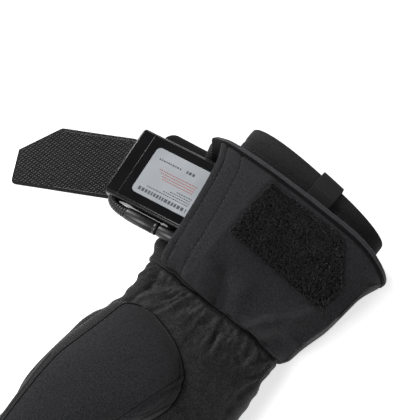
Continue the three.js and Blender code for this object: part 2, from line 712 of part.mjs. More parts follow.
// Battery pack, in a frame with its length along Y, the hem side at +X and the seat at Z 0
function makeBattery() {
  const section = roundedRectangle(batteryWidth, batteryThickness, batteryCorner);
  const slab = (length, from) => {
    const stand = new THREE.Matrix4().makeRotationX(Math.PI / 2);
    return plate(section, length, stand.setPosition(0, from + length, batteryThickness / 2));
  };
  const half = batteryLength / 2;
  const caseLength = batteryLength - endCapLength - clearance;
  const labelMiddle = -half + caseLength - labelLength / 2 - 6;
  const label = (grow, low, high) =>
    plate(
      roundedRectangle(labelWidth + 2 * grow, labelLength + 2 * grow, 3 + grow),
      high - low,
      new THREE.Matrix4().makeTranslation(0, labelMiddle, low),
    );
  const recess = labelThickness + clearance;
  const labelRecess = label(clearance, batteryThickness - recess, batteryThickness + 1);
  const body = slab(caseLength, -half).subtract(labelRecess);
  const notch = plate(
    roundedRectangle(batteryWidth * 0.34, 4, 1.5),
    batteryThickness * 2,
    new THREE.Matrix4().makeTranslation(batteryWidth * 0.22, half + 0.4, -batteryThickness / 2),
  );
  const outlet = solidOf(tube(elbowPoints(-4), elbowDiameter + 2 * clearance, 8, 10));
  const cap = slab(endCapLength, half - endCapLength).subtract(notch).subtract(outlet);
  return { body, cap, label: label(0, batteryThickness - labelThickness, batteryThickness) };
}

// A round bar along Y with the given radii at the given places, eight-sided steps kept few.
function turned(profile, sides) {
  const closed = [[0, profile[0][1]], ...profile, [0, profile.at(-1)[1]]];
  return new THREE.LatheGeometry(closed.map(([radius, y]) => new THREE.Vector2(radius, y)), sides);
}

// Plug, socket and lead beside the pack, in the pack's frame
const plugSide = -(batteryWidth / 2 + clearance + plugDiameter / 2);
const plugHeight = batteryThickness * 0.42;
const plugStart = batteryLength / 2 - plugFromEnd;
const plugEnd = plugStart - plugLength;
const socketEnd = plugEnd - clearance - socketLength;

function makePlug() {
  const r = plugDiameter / 2;
  return turned(
    [
      [r * 0.78, plugEnd],
      [r, plugEnd + 1],
      [r, plugStart - 5],
      [r * 0.72, plugStart],
    ],
    12,
  );
}

function makeSocket() {
  const r = plugDiameter / 2 - 0.3;
  return turned(
    [
      [leadDiameter * 0.7, socketEnd],
      [r, socketEnd + 6],
      [r, plugEnd - clearance - 1],
      [r * 0.85, plugEnd - clearance],
    ],
    12,
  );
}

// A round tube along a curve, with a step every few millimetres.
function tube(points, diameter, count, sides) {
  const curve = new THREE.CatmullRomCurve3(points, false, "centripetal");
  const outline = new THREE.Shape().absarc(0, 0, diameter / 2, 0, 2 * Math.PI, false);
  return new THREE.ExtrudeGeometry(outline, { steps: count, extrudePath: curve, curveSegments: sides });
}

// Strain relief that leaves the end cap's side and bends back to the plug
const elbowDiameter = plugDiameter * 0.72;
function elbowPoints(outwards) {
  const half = batteryLength / 2;
  const [capSide, out] = [-batteryWidth / 2 - outwards, plugSide];
  return [
    new THREE.Vector3(capSide, half - endCapLength * 0.45, plugHeight),
    new THREE.Vector3(-batteryWidth / 2 - 2.6, half - endCapLength * 0.55, plugHeight),
    new THREE.Vector3(out, half - endCapLength - 1.5, plugHeight),
    new THREE.Vector3(out, plugStart + clearance, plugHeight),
  ];
}

// Assembly
const packMiddle = {
  along: mouthMiddle.along + (batteryOut - batteryLength / 2) * Math.sin(yaw) * Math.cos(pitch),
  side: mouthMiddle.side + (batteryOut - batteryLength / 2) * Math.cos(yaw) * Math.cos(pitch),
};
const packHeight = seatHeight(packMiddle.along, packMiddle.side) + clearance;

const finish = (color, roughness) => new THREE.MeshStandardMaterial({ color, roughness, metalness: 0 });
const softshell = finish(0x36363a, 0.85);
const backFabric = finish(0x1c1c1d, 0.9);
const palmFabric = finish(0x2b2c2b, 0.8);
const knit = finish(0x222223, 0.95);
const trim = finish(0x2c2c2e, 0.8);
const hookTape = finish(0x3c3c3e, 0.75);
const loopPile = finish(0x151515, 1);
const glossBlack = finish(0x111112, 0.25);
const labelGrey = finish(0xa4abb3, 0.4);
const plugBlack = finish(0x1e1e20, 0.45);

const glove = new THREE.Group();
const pack = new THREE.Group();
pack.position.copy(at(packMiddle.along, packMiddle.side, packHeight));
pack.rotation.set(-pitch, 0, yaw, "ZXY");
glove.add(pack);

function geometryOf(solid) {
  const { numProp, numVert, vertProperties, triVerts } = solid.getMesh();
  const positions = new Float32Array(numVert * 3);
  for (let i = 0; i < numVert; i += 1) {
    positions.set(vertProperties.subarray(i * numProp, i * numProp + 3), i * 3);
  }
  const geometry = new THREE.BufferGeometry();
  geometry.setAttribute("position", new THREE.BufferAttribute(positions, 3));
  geometry.setIndex(new THREE.BufferAttribute(triVerts, 1));
  geometry.computeVertexNormals();
  return geometry;
}

function place(name, shape, material, parent = glove) {
  const mesh = new THREE.Mesh(shape.isBufferGeometry ? shape : geometryOf(shape), material);
  mesh.name = name;
  parent.add(mesh);
  return mesh;
}

const hand = makeHand();
place("palm_panel", hand.palm, palmFabric);
place("back_panel", hand.back, backFabric);
place("thumb", hand.thumb, softshell);
place("gauntlet_tube", makeGauntlet(), backFabric);
place("pocket_panel", makePanel(), softshell);
place("hem_binding", makeBinding(), trim);
place("knit_cuff", makeCuff(), knit);
place("pull_tab", makeTab(), trim);
place("loop_patch", biggest(makeLoopPatch()), loopPile);
place("closure_strap", makeStrap(), hookTape);
place("pocket_flap", makeFlap(), trim);

const battery = makeBattery();
place("battery_case", battery.body, glossBlack, pack);
place("battery_end_cap", battery.cap, glossBlack, pack);
place("battery_label", battery.label, labelGrey, pack);
const plug = place("lead_plug", makePlug(), plugBlack, pack);
const socket = place("lead_socket", makeSocket(), plugBlack, pack);
plug.position.set(plugSide, 0, plugHeight);
socket.position.set(plugSide, 0, plugHeight);
place("plug_strain_relief", tube(elbowPoints(-2), elbowDiameter, 8, 10), plugBlack, pack);

// The origin is under the middle of the box round the glove, on the surface that it lies on.
const box = new THREE.Box3().setFromObject(glove, true);
const middle = box.getCenter(new THREE.Vector3());
glove.position.set(-middle.x, -middle.y, -box.min.z);

const part = new THREE.Group();
part.add(glove);
export default part;
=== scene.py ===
"""Looks of a heated gauntlet glove lying palm up. Shapes are worked out in millimetres, as distance from the
hem towards the fingers, side (+ to the thumb) and height, and are turned into metres when a mesh is made."""

import math
from contextlib import contextmanager

import bmesh
import bpy
import numpy as np
from mathutils import Matrix, Vector, noise
from mathutils.bvhtree import BVHTree

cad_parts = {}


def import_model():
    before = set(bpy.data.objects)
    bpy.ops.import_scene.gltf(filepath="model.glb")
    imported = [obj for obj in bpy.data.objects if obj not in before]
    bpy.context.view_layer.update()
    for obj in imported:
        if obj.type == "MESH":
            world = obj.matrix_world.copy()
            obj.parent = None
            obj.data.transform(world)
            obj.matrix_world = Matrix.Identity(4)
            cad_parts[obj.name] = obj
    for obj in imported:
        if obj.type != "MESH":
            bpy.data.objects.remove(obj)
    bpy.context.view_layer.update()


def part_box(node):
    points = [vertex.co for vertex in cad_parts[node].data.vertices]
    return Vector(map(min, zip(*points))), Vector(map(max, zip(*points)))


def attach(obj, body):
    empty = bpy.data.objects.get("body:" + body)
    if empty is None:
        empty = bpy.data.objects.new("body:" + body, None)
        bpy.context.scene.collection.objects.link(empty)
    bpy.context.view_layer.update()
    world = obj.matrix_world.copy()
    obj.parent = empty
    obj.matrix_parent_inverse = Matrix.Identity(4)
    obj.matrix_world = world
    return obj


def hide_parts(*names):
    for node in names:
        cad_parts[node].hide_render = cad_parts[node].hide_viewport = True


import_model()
MM = 0.001

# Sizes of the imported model, in millimetres
CLEARANCE = 0.3
GAUNTLET_LENGTH = 83.0
GAUNTLET_HALF = 70.0
GAUNTLET_HEIGHT = 50.0
GAUNTLET_WALL = 3.0
PANEL_WALL = 2.5
HEM_SWEEP = 6.0
BINDING_WIDTH = 4.0
BINDING_PROUD = 0.7
HAND_LENGTH = 121.0
HAND_HALF = 61.0
HAND_HEIGHT = 44.0
HAND_WALL = 4.0
FINGER_WIDTH = 29.0
FINGER_HEIGHT = 28.0
FINGER_LENGTH = 84.0
FINGER_CURL = 13.0
FINGER_GAP = 1.2
THUMB_LENGTH = 128.0
THUMB_HALF = 37.0
THUMB_RISE = 23.0
THUMB_WALL = 3.5
CUFF_REACH = 19.5
CUFF_HALF = 55.0
CUFF_HEIGHT = 40.0
CUFF_WALL = 2.0
CUFF_SLANT = 4.5
CUFF_BOW = 2.5
TAB_WIDTH = 16.5
TAB_SIDE = -8.4
TAB_LENGTH = 16.0
TAB_THICKNESS = 1.1
PACK_LENGTH = 80.0
PACK_WIDTH = 48.5
PACK_THICKNESS = 15.0
PACK_CORNER = 4.0
PACK_OUT = 51.0
PACK_YAW = math.radians(7.5)
PACK_PITCH = math.radians(11)
CAP_LENGTH = 9.0
LABEL_LENGTH = 58.0
LABEL_WIDTH = 33.0
PLUG_DIAMETER = 8.4
PLUG_LENGTH = 24.0
SOCKET_LENGTH = 27.0
LEAD_DIAMETER = 3.6
LOOP_LENGTH = 70.0
LOOP_WIDTH = 40.0
LOOP_FROM_HEM = 5.0
LOOP_EDGE = 18.5
STRAP_WIDTH = 43.0
STRAP_REACH = 122.0
STRAP_THICKNESS = 2.0
STRAP_ANGLE = math.radians(29)
STRAP_FROM_HEM = 18.0
STRAP_CHAMFER = (25.0, 19.0)
FLAP_REACH = 27.0
FLAP_WIDTH = 46.0
FLAP_THICKNESS = 1.6

# Power of the rounded sections, and the share of their height that they sag to lie flat
SQUARENESS = 2.3
FLOOR_SAG = 0.11

# Sizes of what only the looks show, in millimetres. Rows of stitches, from the mouth and the cuff's rim:
MOUTH_ROWS = (5.0, 16.5)
CUFF_ROW = 9.5
STITCH_PITCH = 3.2
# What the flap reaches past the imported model's, the cloth under the pile's loops, the hand's remesh
FLAP_LONGER = 3.5
PILE_GROUND = 0.9
HAND_VOXEL = 1.02
# Distance over which the wander of the wrist seam fades
SEAM_FADE = 8
# Shortest loop of a seam that gets a thread
SHORTEST_SEAM = 20

TUBE_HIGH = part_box("gauntlet_tube")[1]
HEM_X = TUBE_HIGH.x / MM
MIDDLE_Y = TUBE_HIGH.y / MM - GAUNTLET_HALF
HAND_START = GAUNTLET_LENGTH + CLEARANCE


def table(names, rows):
    return dict(zip(names.split(), np.array(rows, float).T))


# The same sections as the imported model's, as shares of its sizes
GAUNTLET = table(
    "along thumb little top",
    [
        (0, 1.0, 0.96, 1.0),
        (0.2, 0.94, 0.88, 0.91),
        (0.42, 0.89, 0.85, 0.85),
        (0.6, 0.86, 0.82, 0.82),
        (0.8, 0.82, 0.76, 0.8),
        (1.0, 0.79, 0.73, 0.8),
    ],
)
FOLDS = table(
    "along side rise long wide turned",
    [
        (0.93, -0.04, -0.055, 0.4, 0.13, 12),
        (0.74, -0.52, 0.045, 0.62, 0.13, 34),
        (0.8, -0.74, -0.05, 0.5, 0.15, 30),
        (0.96, 0.3, 0.02, 0.3, 0.16, 0),
    ],
)
MOUTH = table("along side", [(0, 0.86), (0.17, 0.76), (0.73, 0.64), (1, 0.61)])
CUFF = table(
    "along width top",
    [(0, 1.0, 1.0), (0.2, 0.99, 0.98), (0.45, 0.92, 0.86), (0.75, 0.87, 0.83), (1.0, 0.83, 0.8)],
)
HAND = table(
    "along thumb little top bottom",
    [
        (0, 0.86, 0.82, 0.86, 0.03),
        (0.07, 0.83, 0.8, 0.83, 0.05),
        (0.14, 0.83, 0.82, 0.86, 0.04),
        (0.23, 0.83, 0.85, 0.93, 0.0),
        (0.33, 0.89, 0.86, 0.97, 0.0),
        (0.43, 0.97, 0.87, 1.0, 0.0),
        (0.56, 1.0, 0.89, 1.0, 0.0),
        (0.72, 1.03, 0.9, 0.96, 0.0),
        (0.86, 1.04, 0.91, 0.86, 0.0),
        (0.95, 1.02, 0.9, 0.71, 0.01),
        (1.0, 0.98, 0.86, 0.6, 0.05),
        (1.04, 0.92, 0.8, 0.46, 0.13),
    ],
)
THUMB = table(
    "along centre width top",
    [
        (0.0, 0.44, 0.12, -0.15),
        (0.015, 0.425, 0.32, -0.02),
        (0.05, 0.39, 0.6, 0.17),
        (0.12, 0.31, 0.82, 0.42),
        (0.19, 0.28, 0.92, 0.6),
        (0.28, 0.28, 0.98, 0.78),
        (0.385, 0.325, 0.97, 0.92),
        (0.46, 0.385, 0.87, 0.99),
        (0.6, 0.47, 0.68, 1.02),
        (0.78, 0.505, 0.57, 0.98),
        (0.9, 0.52, 0.48, 0.86),
        (0.965, 0.525, 0.36, 0.68),
        (1.0, 0.53, 0.2, 0.5),
    ],
)
FINGERS = table(
    "width length spread root",
    [(1.0, 0.92, 1.8, 0.985), (1.03, 1.0, 0.4, 1.0), (0.97, 0.93, -1, 0.99), (0.87, 0.76, -3, 0.955)],
)
FINGER_ROWS = table(
    "along width height",
    [
        (-0.28, 0.98, 0.98),
        (0.0, 1.0, 1.0),
        (0.3, 1.01, 0.98),
        (0.6, 0.98, 0.93),
        (0.82, 0.9, 0.84),
        (0.93, 0.74, 0.67),
        (0.985, 0.46, 0.42),
    ],
)


def curve(rows, name, place):
    """A column of a table at the given places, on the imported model's smooth curve through its rows."""
    x, y = rows["along"], rows[name]
    place = np.clip(np.asarray(place, float), x[0], x[-1])
    i = np.clip(np.searchsorted(x, place, side="right") - 1, 0, len(x) - 2)
    span = x[i + 1] - x[i]

    def slope(a, b):
        return (y[b] - y[a]) / (x[b] - x[a]) * span

    start = slope(np.maximum(i - 1, 0), i + 1)
    end = slope(i, np.minimum(i + 2, len(x) - 1))
    t = (place - x[i]) / span
    rise = y[i + 1] - y[i]
    return y[i] + t * start + t**2 * (3 * rise - 2 * start - end) + t**3 * (start + end - 2 * rise)


def signed_power(value, power):
    return np.sign(value) * np.abs(value) ** power


def section_point(section, turn, grow):
    """Side and height of a closed section, whose turn runs from the little-finger side over the top."""
    c, s = np.cos(turn), np.sin(turn)
    half = np.where(c > 0, section["little"], section["thumb"]) + grow
    side = -half * signed_power(c, 2 / SQUARENESS)
    top, bottom = section["top"], section["bottom"]
    middle = (bottom + top) / 2
    low = middle - bottom + FLOOR_SAG * (top - bottom)
    reach = np.where(s > 0, top - middle, low) + grow
    height = middle + reach * signed_power(s, 2 / SQUARENESS)
    return side, np.maximum(height, bottom - grow)


def soft_min(a, b, blend):
    return (a + b - np.hypot(a - b, blend)) / 2


def soft_max(a, b, blend):
    return (a + b + np.hypot(a - b, blend)) / 2


MOUTH_ALONG, MOUTH_SIDE = GAUNTLET_LENGTH * 0.45, GAUNTLET_HALF * 0.73
SEAT_AT_MOUTH = GAUNTLET_HEIGHT * 0.62
POCKET_HEM_END = GAUNTLET_LENGTH * 0.12
POCKET_WRIST_END = POCKET_HEM_END + PACK_WIDTH + PLUG_DIAMETER + 8 * CLEARANCE


def seat_height(along, side):
    outwards = (along - MOUTH_ALONG) * math.sin(PACK_YAW) + (side - MOUTH_SIDE) * math.cos(PACK_YAW)
    return SEAT_AT_MOUTH - math.tan(PACK_PITCH) * outwards


def gauntlet_section(along):
    place = along / GAUNTLET_LENGTH
    return {
        "thumb": GAUNTLET_HALF * curve(GAUNTLET, "thumb", place),
        "little": GAUNTLET_HALF * curve(GAUNTLET, "little", place),
        "top": GAUNTLET_HEIGHT * curve(GAUNTLET, "top", place),
        "bottom": 0.0 * along,
    }


def fold_rise(along, side):
    total = 0.0
    for row in zip(*FOLDS.values()):
        fold = dict(zip(FOLDS, row))
        ahead = along - fold["along"] * GAUNTLET_LENGTH
        beside = side - fold["side"] * GAUNTLET_HALF
        angle = math.radians(fold["turned"])
        down = (ahead * math.cos(angle) + beside * math.sin(angle)) / (fold["long"] * GAUNTLET_HEIGHT)
        across = (beside * math.cos(angle) - ahead * math.sin(angle)) / (fold["wide"] * GAUNTLET_HEIGHT)
        total = total + fold["rise"] * GAUNTLET_HEIGHT * np.exp(-(down**2) - across**2)
    return total


def swept(along, side):
    edge = np.maximum(0, -side / GAUNTLET_HALF - 0.55) / 0.45
    return along + HEM_SWEEP * edge**2 * np.maximum(0, 1 - np.maximum(along, 0) / GAUNTLET_LENGTH)


def past_pocket(along):
    """How far a place lies past the pocket's hem end, and past its wrist end."""
    return np.maximum(0, POCKET_HEM_END - along), np.maximum(0, along - POCKET_WRIST_END)


def gauntlet_point(along, turn, grow):
    section = gauntlet_section(along)
    side, height = section_point(section, turn, grow)
    height = height + np.maximum(0, np.sin(turn)) * fold_rise(along, side)
    hem_side, wrist_side = past_pocket(along)
    seat = seat_height(along, side) + 1.3 * hem_side + 1.2 * wrist_side + grow
    pressed = np.maximum(soft_min(height, seat, 1.5), np.minimum(height, section["top"] / 3))
    return np.stack([swept(along, side), side, np.where(np.sin(turn) > 0, pressed, height)], -1)


def panel_point(along, turn, grow):
    side, height = section_point(gauntlet_section(along), turn, grow)
    height = height + np.maximum(0, np.sin(turn)) * fold_rise(along, side)
    hem_side, wrist_side = past_pocket(along)
    thick = PACK_THICKNESS / math.cos(PACK_PITCH)
    pack_top = seat_height(along, side) + thick + 3 * CLEARANCE
    pack_end = MOUTH_SIDE - (PACK_LENGTH - PACK_OUT)
    crest = seat_height(along, pack_end) + thick + 4 * CLEARANCE
    tent = crest - 0.25 * (pack_end - side)
    lifted = np.minimum(pack_top, tent) - 0.5 * hem_side - 0.9 * wrist_side + grow
    height = np.where(np.sin(turn) > 0, soft_max(height, lifted, 2), height)
    return np.stack([swept(along, side), side, height], -1)


def turn_at_side(section, side):
    half = np.where(side > 0, section["thumb"], section["little"])
    lean = np.arccos(np.clip(np.abs(side) / half, 0, 1) ** (SQUARENESS / 2))
    return np.where(side > 0, np.pi - lean, lean)


PANEL_WRAP = math.radians(-24)
PANEL_TOP = CLEARANCE + PANEL_WALL


def panel_turn(along, share):
    mouth = GAUNTLET_HALF * curve(MOUTH, "side", along / GAUNTLET_LENGTH)
    return PANEL_WRAP + share * (turn_at_side(gauntlet_section(along), mouth) - PANEL_WRAP)


CUFF_START, CUFF_END = -CUFF_REACH, GAUNTLET_LENGTH - 2 * CLEARANCE


def cuff_point(place, turn, grow):
    along = CUFF_START + place * (CUFF_END - CUFF_START)
    inside = np.clip(along, 0, GAUNTLET_LENGTH)
    gauntlet = gauntlet_section(inside)
    fit = GAUNTLET_WALL + 2 * CLEARANCE
    half = np.minimum(CUFF_HALF * curve(CUFF, "width", place), gauntlet["little"] - fit)
    top = np.minimum(CUFF_HEIGHT * curve(CUFF, "top", place) + fit, gauntlet["top"] - fit)
    section = {"thumb": half, "little": half, "top": top, "bottom": fit + 0.0 * half}
    side, height = section_point(section, turn, grow)
    height = height + np.maximum(0, np.sin(turn)) * fold_rise(inside, side)
    seat = seat_height(inside, side) - fit + 0.5 * np.maximum(0, -along) + grow
    hem_side, wrist_side = past_pocket(inside)
    pressed = soft_min(height, seat + 1.3 * hem_side + wrist_side, 1.5)
    height = np.where(np.sin(turn) > 0, pressed, height)
    outwards = np.maximum(0, -along / CUFF_REACH)
    bow = (CUFF_BOW * np.maximum(0, np.sin(turn)) + CUFF_SLANT * side / CUFF_HALF) * outwards
    return np.stack([along - bow, side, np.maximum(height, fit - grow)], -1)


def hand_section(place):
    return {
        "thumb": curve(HAND, "thumb", place) * HAND_HALF,
        "little": curve(HAND, "little", place) * HAND_HALF,
        "top": HAND_HEIGHT * curve(HAND, "top", place),
        "bottom": np.maximum(0, HAND_HEIGHT * curve(HAND, "bottom", place)),
    }


def hand_point(along, turn):
    side, height = section_point(hand_section((along - HAND_START) / HAND_LENGTH), turn, 0.0)
    return np.stack([along + 0 * side, side, height], -1)


# Meshes
def world(points):
    """Distance from the hem, side and height in millimetres to metres in the frame."""
    points = np.asarray(points, float)
    return np.stack([HEM_X - points[..., 0], MIDDLE_Y + points[..., 1], points[..., 2]], -1) * MM


def new_object(name, points, faces):
    mesh = bpy.data.meshes.new(name)
    mesh.from_pydata(points.tolist(), [], faces)
    mesh.validate()
    mesh.polygons.foreach_set("use_smooth", [True] * len(mesh.polygons))
    obj = bpy.data.objects.new(name, mesh)
    bpy.context.scene.collection.objects.link(obj)
    return obj


@contextmanager
def mesh_work(obj):
    """A bmesh of an object's mesh, written back when the block ends."""
    work = bmesh.new()
    work.from_mesh(obj.data)
    yield work
    work.to_mesh(obj.data)
    work.free()


def solid(name, points, faces):
    """An object from points in glove millimetres, with its faces pointing out."""
    made = new_object(name, world(points), faces)
    with mesh_work(made) as work:
        bmesh.ops.recalc_face_normals(work, faces=work.faces)
    return made


def grid_faces(rows, columns, wrap_rows=False, wrap_columns=False, offset=0):
    faces = []
    for i in range(rows if wrap_rows else rows - 1):
        for j in range(columns if wrap_columns else columns - 1):
            a, b = i * columns + j, i * columns + (j + 1) % columns
            c = (i + 1) % rows * columns + (j + 1) % columns
            d = (i + 1) % rows * columns + j
            faces.append((a + offset, b + offset, c + offset, d + offset))
    return faces


def grid_normals(points, wrap_rows=False, wrap_columns=False):
    def difference(axis, wrap):
        if wrap:
            return np.roll(points, -1, axis) - np.roll(points, 1, axis)
        return np.gradient(points, axis=axis)

    normals = np.cross(difference(0, wrap_rows), difference(1, wrap_columns))
    return normals / np.maximum(np.linalg.norm(normals, axis=-1, keepdims=True), 1e-9)


def ring_normals(points):
    """Normals of a grid whose rows are closed rings, pointing away from each ring's middle."""
    normals = grid_normals(points, False, True)
    return normals * np.sign(np.sum(normals * (points - points.mean(1, keepdims=True)), -1, keepdims=True))


def from_ends(points, axis):
    """Distance of each point of a grid from the first and the last of its line along an axis."""
    step = np.linalg.norm(np.diff(points, axis=axis), axis=-1)
    start = np.insert(np.cumsum(step, axis), 0, 0, axis)
    return start, np.take(start, [-1], axis) - start


def cloth_wall(name, points, thickness, wrap_columns=False):
    """A closed wall round a grid of points in its middle, with rounded free edges."""
    half = np.full(points.shape[:2], thickness / 2)
    for axis in [0] if wrap_columns else [0, 1]:
        near = np.minimum(*from_ends(points, axis))
        share = np.clip(near / (thickness / 2), 0, 1)
        half = half * np.maximum(np.sqrt(1 - (1 - share) ** 2), 0.06)
    normals = grid_normals(points, False, wrap_columns)
    rows, columns = points.shape[:2]
    layers = [points + normals * half[..., None], points - normals * half[..., None]]
    count = rows * columns
    faces = grid_faces(rows, columns, False, wrap_columns)
    faces += [tuple(reversed(f)) for f in grid_faces(rows, columns, False, wrap_columns, count)]
    for row in (0, rows - 1):
        for j in range(columns if wrap_columns else columns - 1):
            a, b = row * columns + j, row * columns + (j + 1) % columns
            faces.append((a, b, b + count, a + count))
    if not wrap_columns:
        for column in (0, columns - 1):
            for i in range(rows - 1):
                a, b = i * columns + column, (i + 1) * columns + column
                faces.append((a, b, b + count, a + count))
    return solid(name, np.concatenate([layer.reshape(-1, 3) for layer in layers]), faces)


def ends_refined(length, step):
    """Places from 0 to a length, closer together near both ends."""
    near = [0, 0.08, 0.25, 0.5, 0.85, 1.3]
    inner = np.linspace(2, length - 2, max(2, round((length - 4) / step)))
    return np.concatenate([near, inner, length - np.array(near[::-1])])


def noise_at(points, scale, seed=0.0):
    """Smooth noise from -1 to 1 at points in millimetres, with features about as wide as the scale."""
    flat = points.reshape(-1, 3) / scale + seed
    values = [noise.noise(Vector(p)) for p in flat.tolist()]
    return np.array(values).reshape(points.shape[:-1])


def bent_line(knots, count):
    """Points of a smooth line from one place to another, drawn towards a third between them."""
    t = np.linspace(0, 1, count)[:, None]
    start, bend, end = (np.array(k, float) for k in knots)
    return (1 - t) ** 2 * start + 2 * t * (1 - t) * bend + t**2 * end


def distance_along(path):
    return np.insert(np.cumsum(np.linalg.norm(np.diff(path, axis=0), axis=-1)), 0, 0)


def at_distances(places, far, values):
    """Values along a path at other distances from its start."""
    return np.stack([np.interp(places, far, values[:, k]) for k in range(3)], -1)


def bell(distance, width):
    return np.exp(-((distance / width) ** 2))


def tuck(distance, depth, width):
    return -depth * bell(distance, width)


def beside_curve(points, knots):
    """Signed distance from a smooth line over the glove, and the share along it."""
    samples = 60
    line = bent_line(knots, samples)
    ahead = np.gradient(line, axis=0)
    ahead /= np.linalg.norm(ahead, axis=-1, keepdims=True)
    flat = points[..., :2].reshape(-1, 2)
    nearest = np.argmin(((flat[:, None] - line[None]) ** 2).sum(-1), 1)
    offset = flat - line[nearest]
    signed = ahead[nearest, 0] * offset[:, 1] - ahead[nearest, 1] * offset[:, 0]
    distance = np.linalg.norm(offset, axis=1) * np.where(signed < 0, -1, 1)
    return distance.reshape(points.shape[:-1]), (nearest / (samples - 1)).reshape(points.shape[:-1])


def creases(points, rows):
    """Relief of soft folds. Each row has three places, a height, and a width to its left and its right."""
    total = np.zeros(points.shape[:-1])
    for *knots, height, left, right in rows:
        distance, share = beside_curve(points, knots)
        width = np.where(distance > 0, left, right)
        fade = 0.35 + 0.65 * np.sin(np.pi * np.clip(share, 0.02, 0.98))
        total += height * fade * bell(distance, width)
    return total


def puckers(points, seam_along, sides, seed):
    """Relief of the small pleats that fan out from a gathered seam, with random sizes and directions."""
    random = np.random.default_rng(seed)
    total = np.zeros(points.shape[:-1])
    side = sides[0]
    while side < sides[1]:
        angle = math.radians(14 + 0.45 * side + random.uniform(-22, 22))
        length = random.uniform(7, 34)
        width = random.uniform(0.7, 1.9)
        deep = random.uniform(0.5, 1.7) * min(1.0, 0.5 + length / 45)
        start = random.uniform(-1, 4)
        ahead_of = points[..., 0] - seam_along - start
        beside = points[..., 1] - side
        ahead = ahead_of * math.cos(angle) + beside * math.sin(angle)
        across = beside * math.cos(angle) - ahead_of * math.sin(angle)
        across = across + 0.9 * np.sin(ahead / random.uniform(3, 6) + random.uniform(0, 6.3))
        envelope = np.clip(ahead / 2.5, 0, 1) * np.clip(1 - (ahead / length) ** 2, 0, 1)
        spread = width * (1 + 0.6 * np.clip(ahead / length, 0, 1))
        valley = bell(across, spread)
        banks = bell(np.abs(across) - 2.1 * spread, 1.2 * spread)
        total += deep * envelope * (0.55 * banks - valley)
        side += random.uniform(2.6, 7.4)
    return total


def crumples(points, seam_along, seed):
    """Fine sharp-ridged wrinkles that fan out from a gathered seam and fade away from it."""
    ahead = points[..., 0] - seam_along
    wander = [noise_at(points, 9, seed), noise_at(points, 8, seed + 5), 0 * ahead]
    warped = points + 2.4 * np.stack(wander, -1)
    across = warped[..., 1] - (0.25 + 0.006 * points[..., 1]) * (warped[..., 0] - seam_along)
    total = 0.0
    for pitch, height, drawn_out in ((6.0, 1.15, 2.6), (3.2, 0.75, 2.2), (1.9, 0.45, 1.6)):
        place = np.stack([warped[..., 0] / drawn_out, across, points[..., 2] * 0.4], -1)
        total = total + height * (0.5 - 2.2 * np.abs(noise_at(place, pitch, seed + pitch)))
    return total * (bell(ahead - 8, 9) + 0.22 * bell(ahead - 22, 14))


def seam_wave(side):
    """How far the wrist seam wanders along the glove."""
    place = np.stack([0 * side + 3.3, side, 0 * side], -1)
    return 1.5 * noise_at(place, 15) + 0.5 * noise_at(place, 5)


def tube_mesh(paths, radius, sides):
    """Open paths of equal count, each as a closed thin tube. Points are in millimetres."""
    paths = np.asarray(paths, float)
    many, steps = paths.shape[:2]
    ahead = np.gradient(paths, axis=1)
    ahead /= np.maximum(np.linalg.norm(ahead, axis=-1, keepdims=True), 1e-9)
    guide = np.where(np.abs(ahead[..., 2:]) > 0.9, np.array([1.0, 0, 0]), np.array([0, 0, 1.0]))
    first = np.cross(ahead, guide)
    first /= np.maximum(np.linalg.norm(first, axis=-1, keepdims=True), 1e-9)
    second = np.cross(ahead, first)
    turn = around(sides)
    offset = first[:, :, None] * np.cos(turn)[:, None] + second[:, :, None] * np.sin(turn)[:, None]
    points = (paths[:, :, None] + offset * radius).reshape(-1, 3)
    faces = []
    for m in range(many):
        start = m * steps * sides
        faces += grid_faces(steps, sides, False, True, start)
        faces.append(tuple(range(start, start + sides)))
        faces.append(tuple(range(start + steps * sides - 1, start + (steps - 1) * sides - 1, -1)))
    return points, faces


def tubes(name, paths, radius, sides=6):
    return solid(name, *tube_mesh(paths, radius, sides))


def stitches(name, line, normals, pitch=STITCH_PITCH, length=2.3, radius=0.22, lift=0.1):
    """Threads in a row along a line of points, each dipping into the cloth at its ends."""
    far = distance_along(line)
    starts = np.arange(pitch / 2, far[-1] - length, pitch)
    arc = np.linspace(0, 1, 5)
    places = starts[:, None] + arc[None] * length
    up = at_distances(places, far, normals)
    height = lift + radius * (1.7 * np.sin(np.pi * arc) - 1.1)
    return tubes(name, at_distances(places, far, line) + up * height[None, :, None], radius)


def bake(obj):
    """Applies an object's modifiers to its mesh."""
    graph = bpy.context.evaluated_depsgraph_get()
    mesh = bpy.data.meshes.new_from_object(obj.evaluated_get(graph))
    obj.modifiers.clear()
    obj.data = mesh
    return obj


def mesh_points(obj, attribute="co"):
    flat = np.empty(len(obj.data.vertices) * 3)
    obj.data.vertices.foreach_get(attribute, flat)
    return flat.reshape(-1, 3)


def set_mesh_points(obj, points):
    obj.data.vertices.foreach_set("co", points.reshape(-1))
    obj.data.update()


def glove_points(points):
    """The way back from world."""
    points = points / MM
    return np.stack([HEM_X - points[:, 0], points[:, 1] - MIDDLE_Y, points[:, 2]], -1)


def relax(obj, rounds):
    """Evens out a mesh by moving each point towards the middle of its neighbours."""
    edges = np.empty(len(obj.data.edges) * 2, int)
    obj.data.edges.foreach_get("vertices", edges)
    a, b = edges.reshape(-1, 2).T
    points = mesh_points(obj)
    count = np.bincount(np.concatenate([a, b]), minlength=len(points))[:, None]
    for _ in range(rounds):
        total = np.zeros_like(points)
        np.add.at(total, a, points[b])
        np.add.at(total, b, points[a])
        points += (total / np.maximum(count, 1) - points) / 2
    set_mesh_points(obj, points)


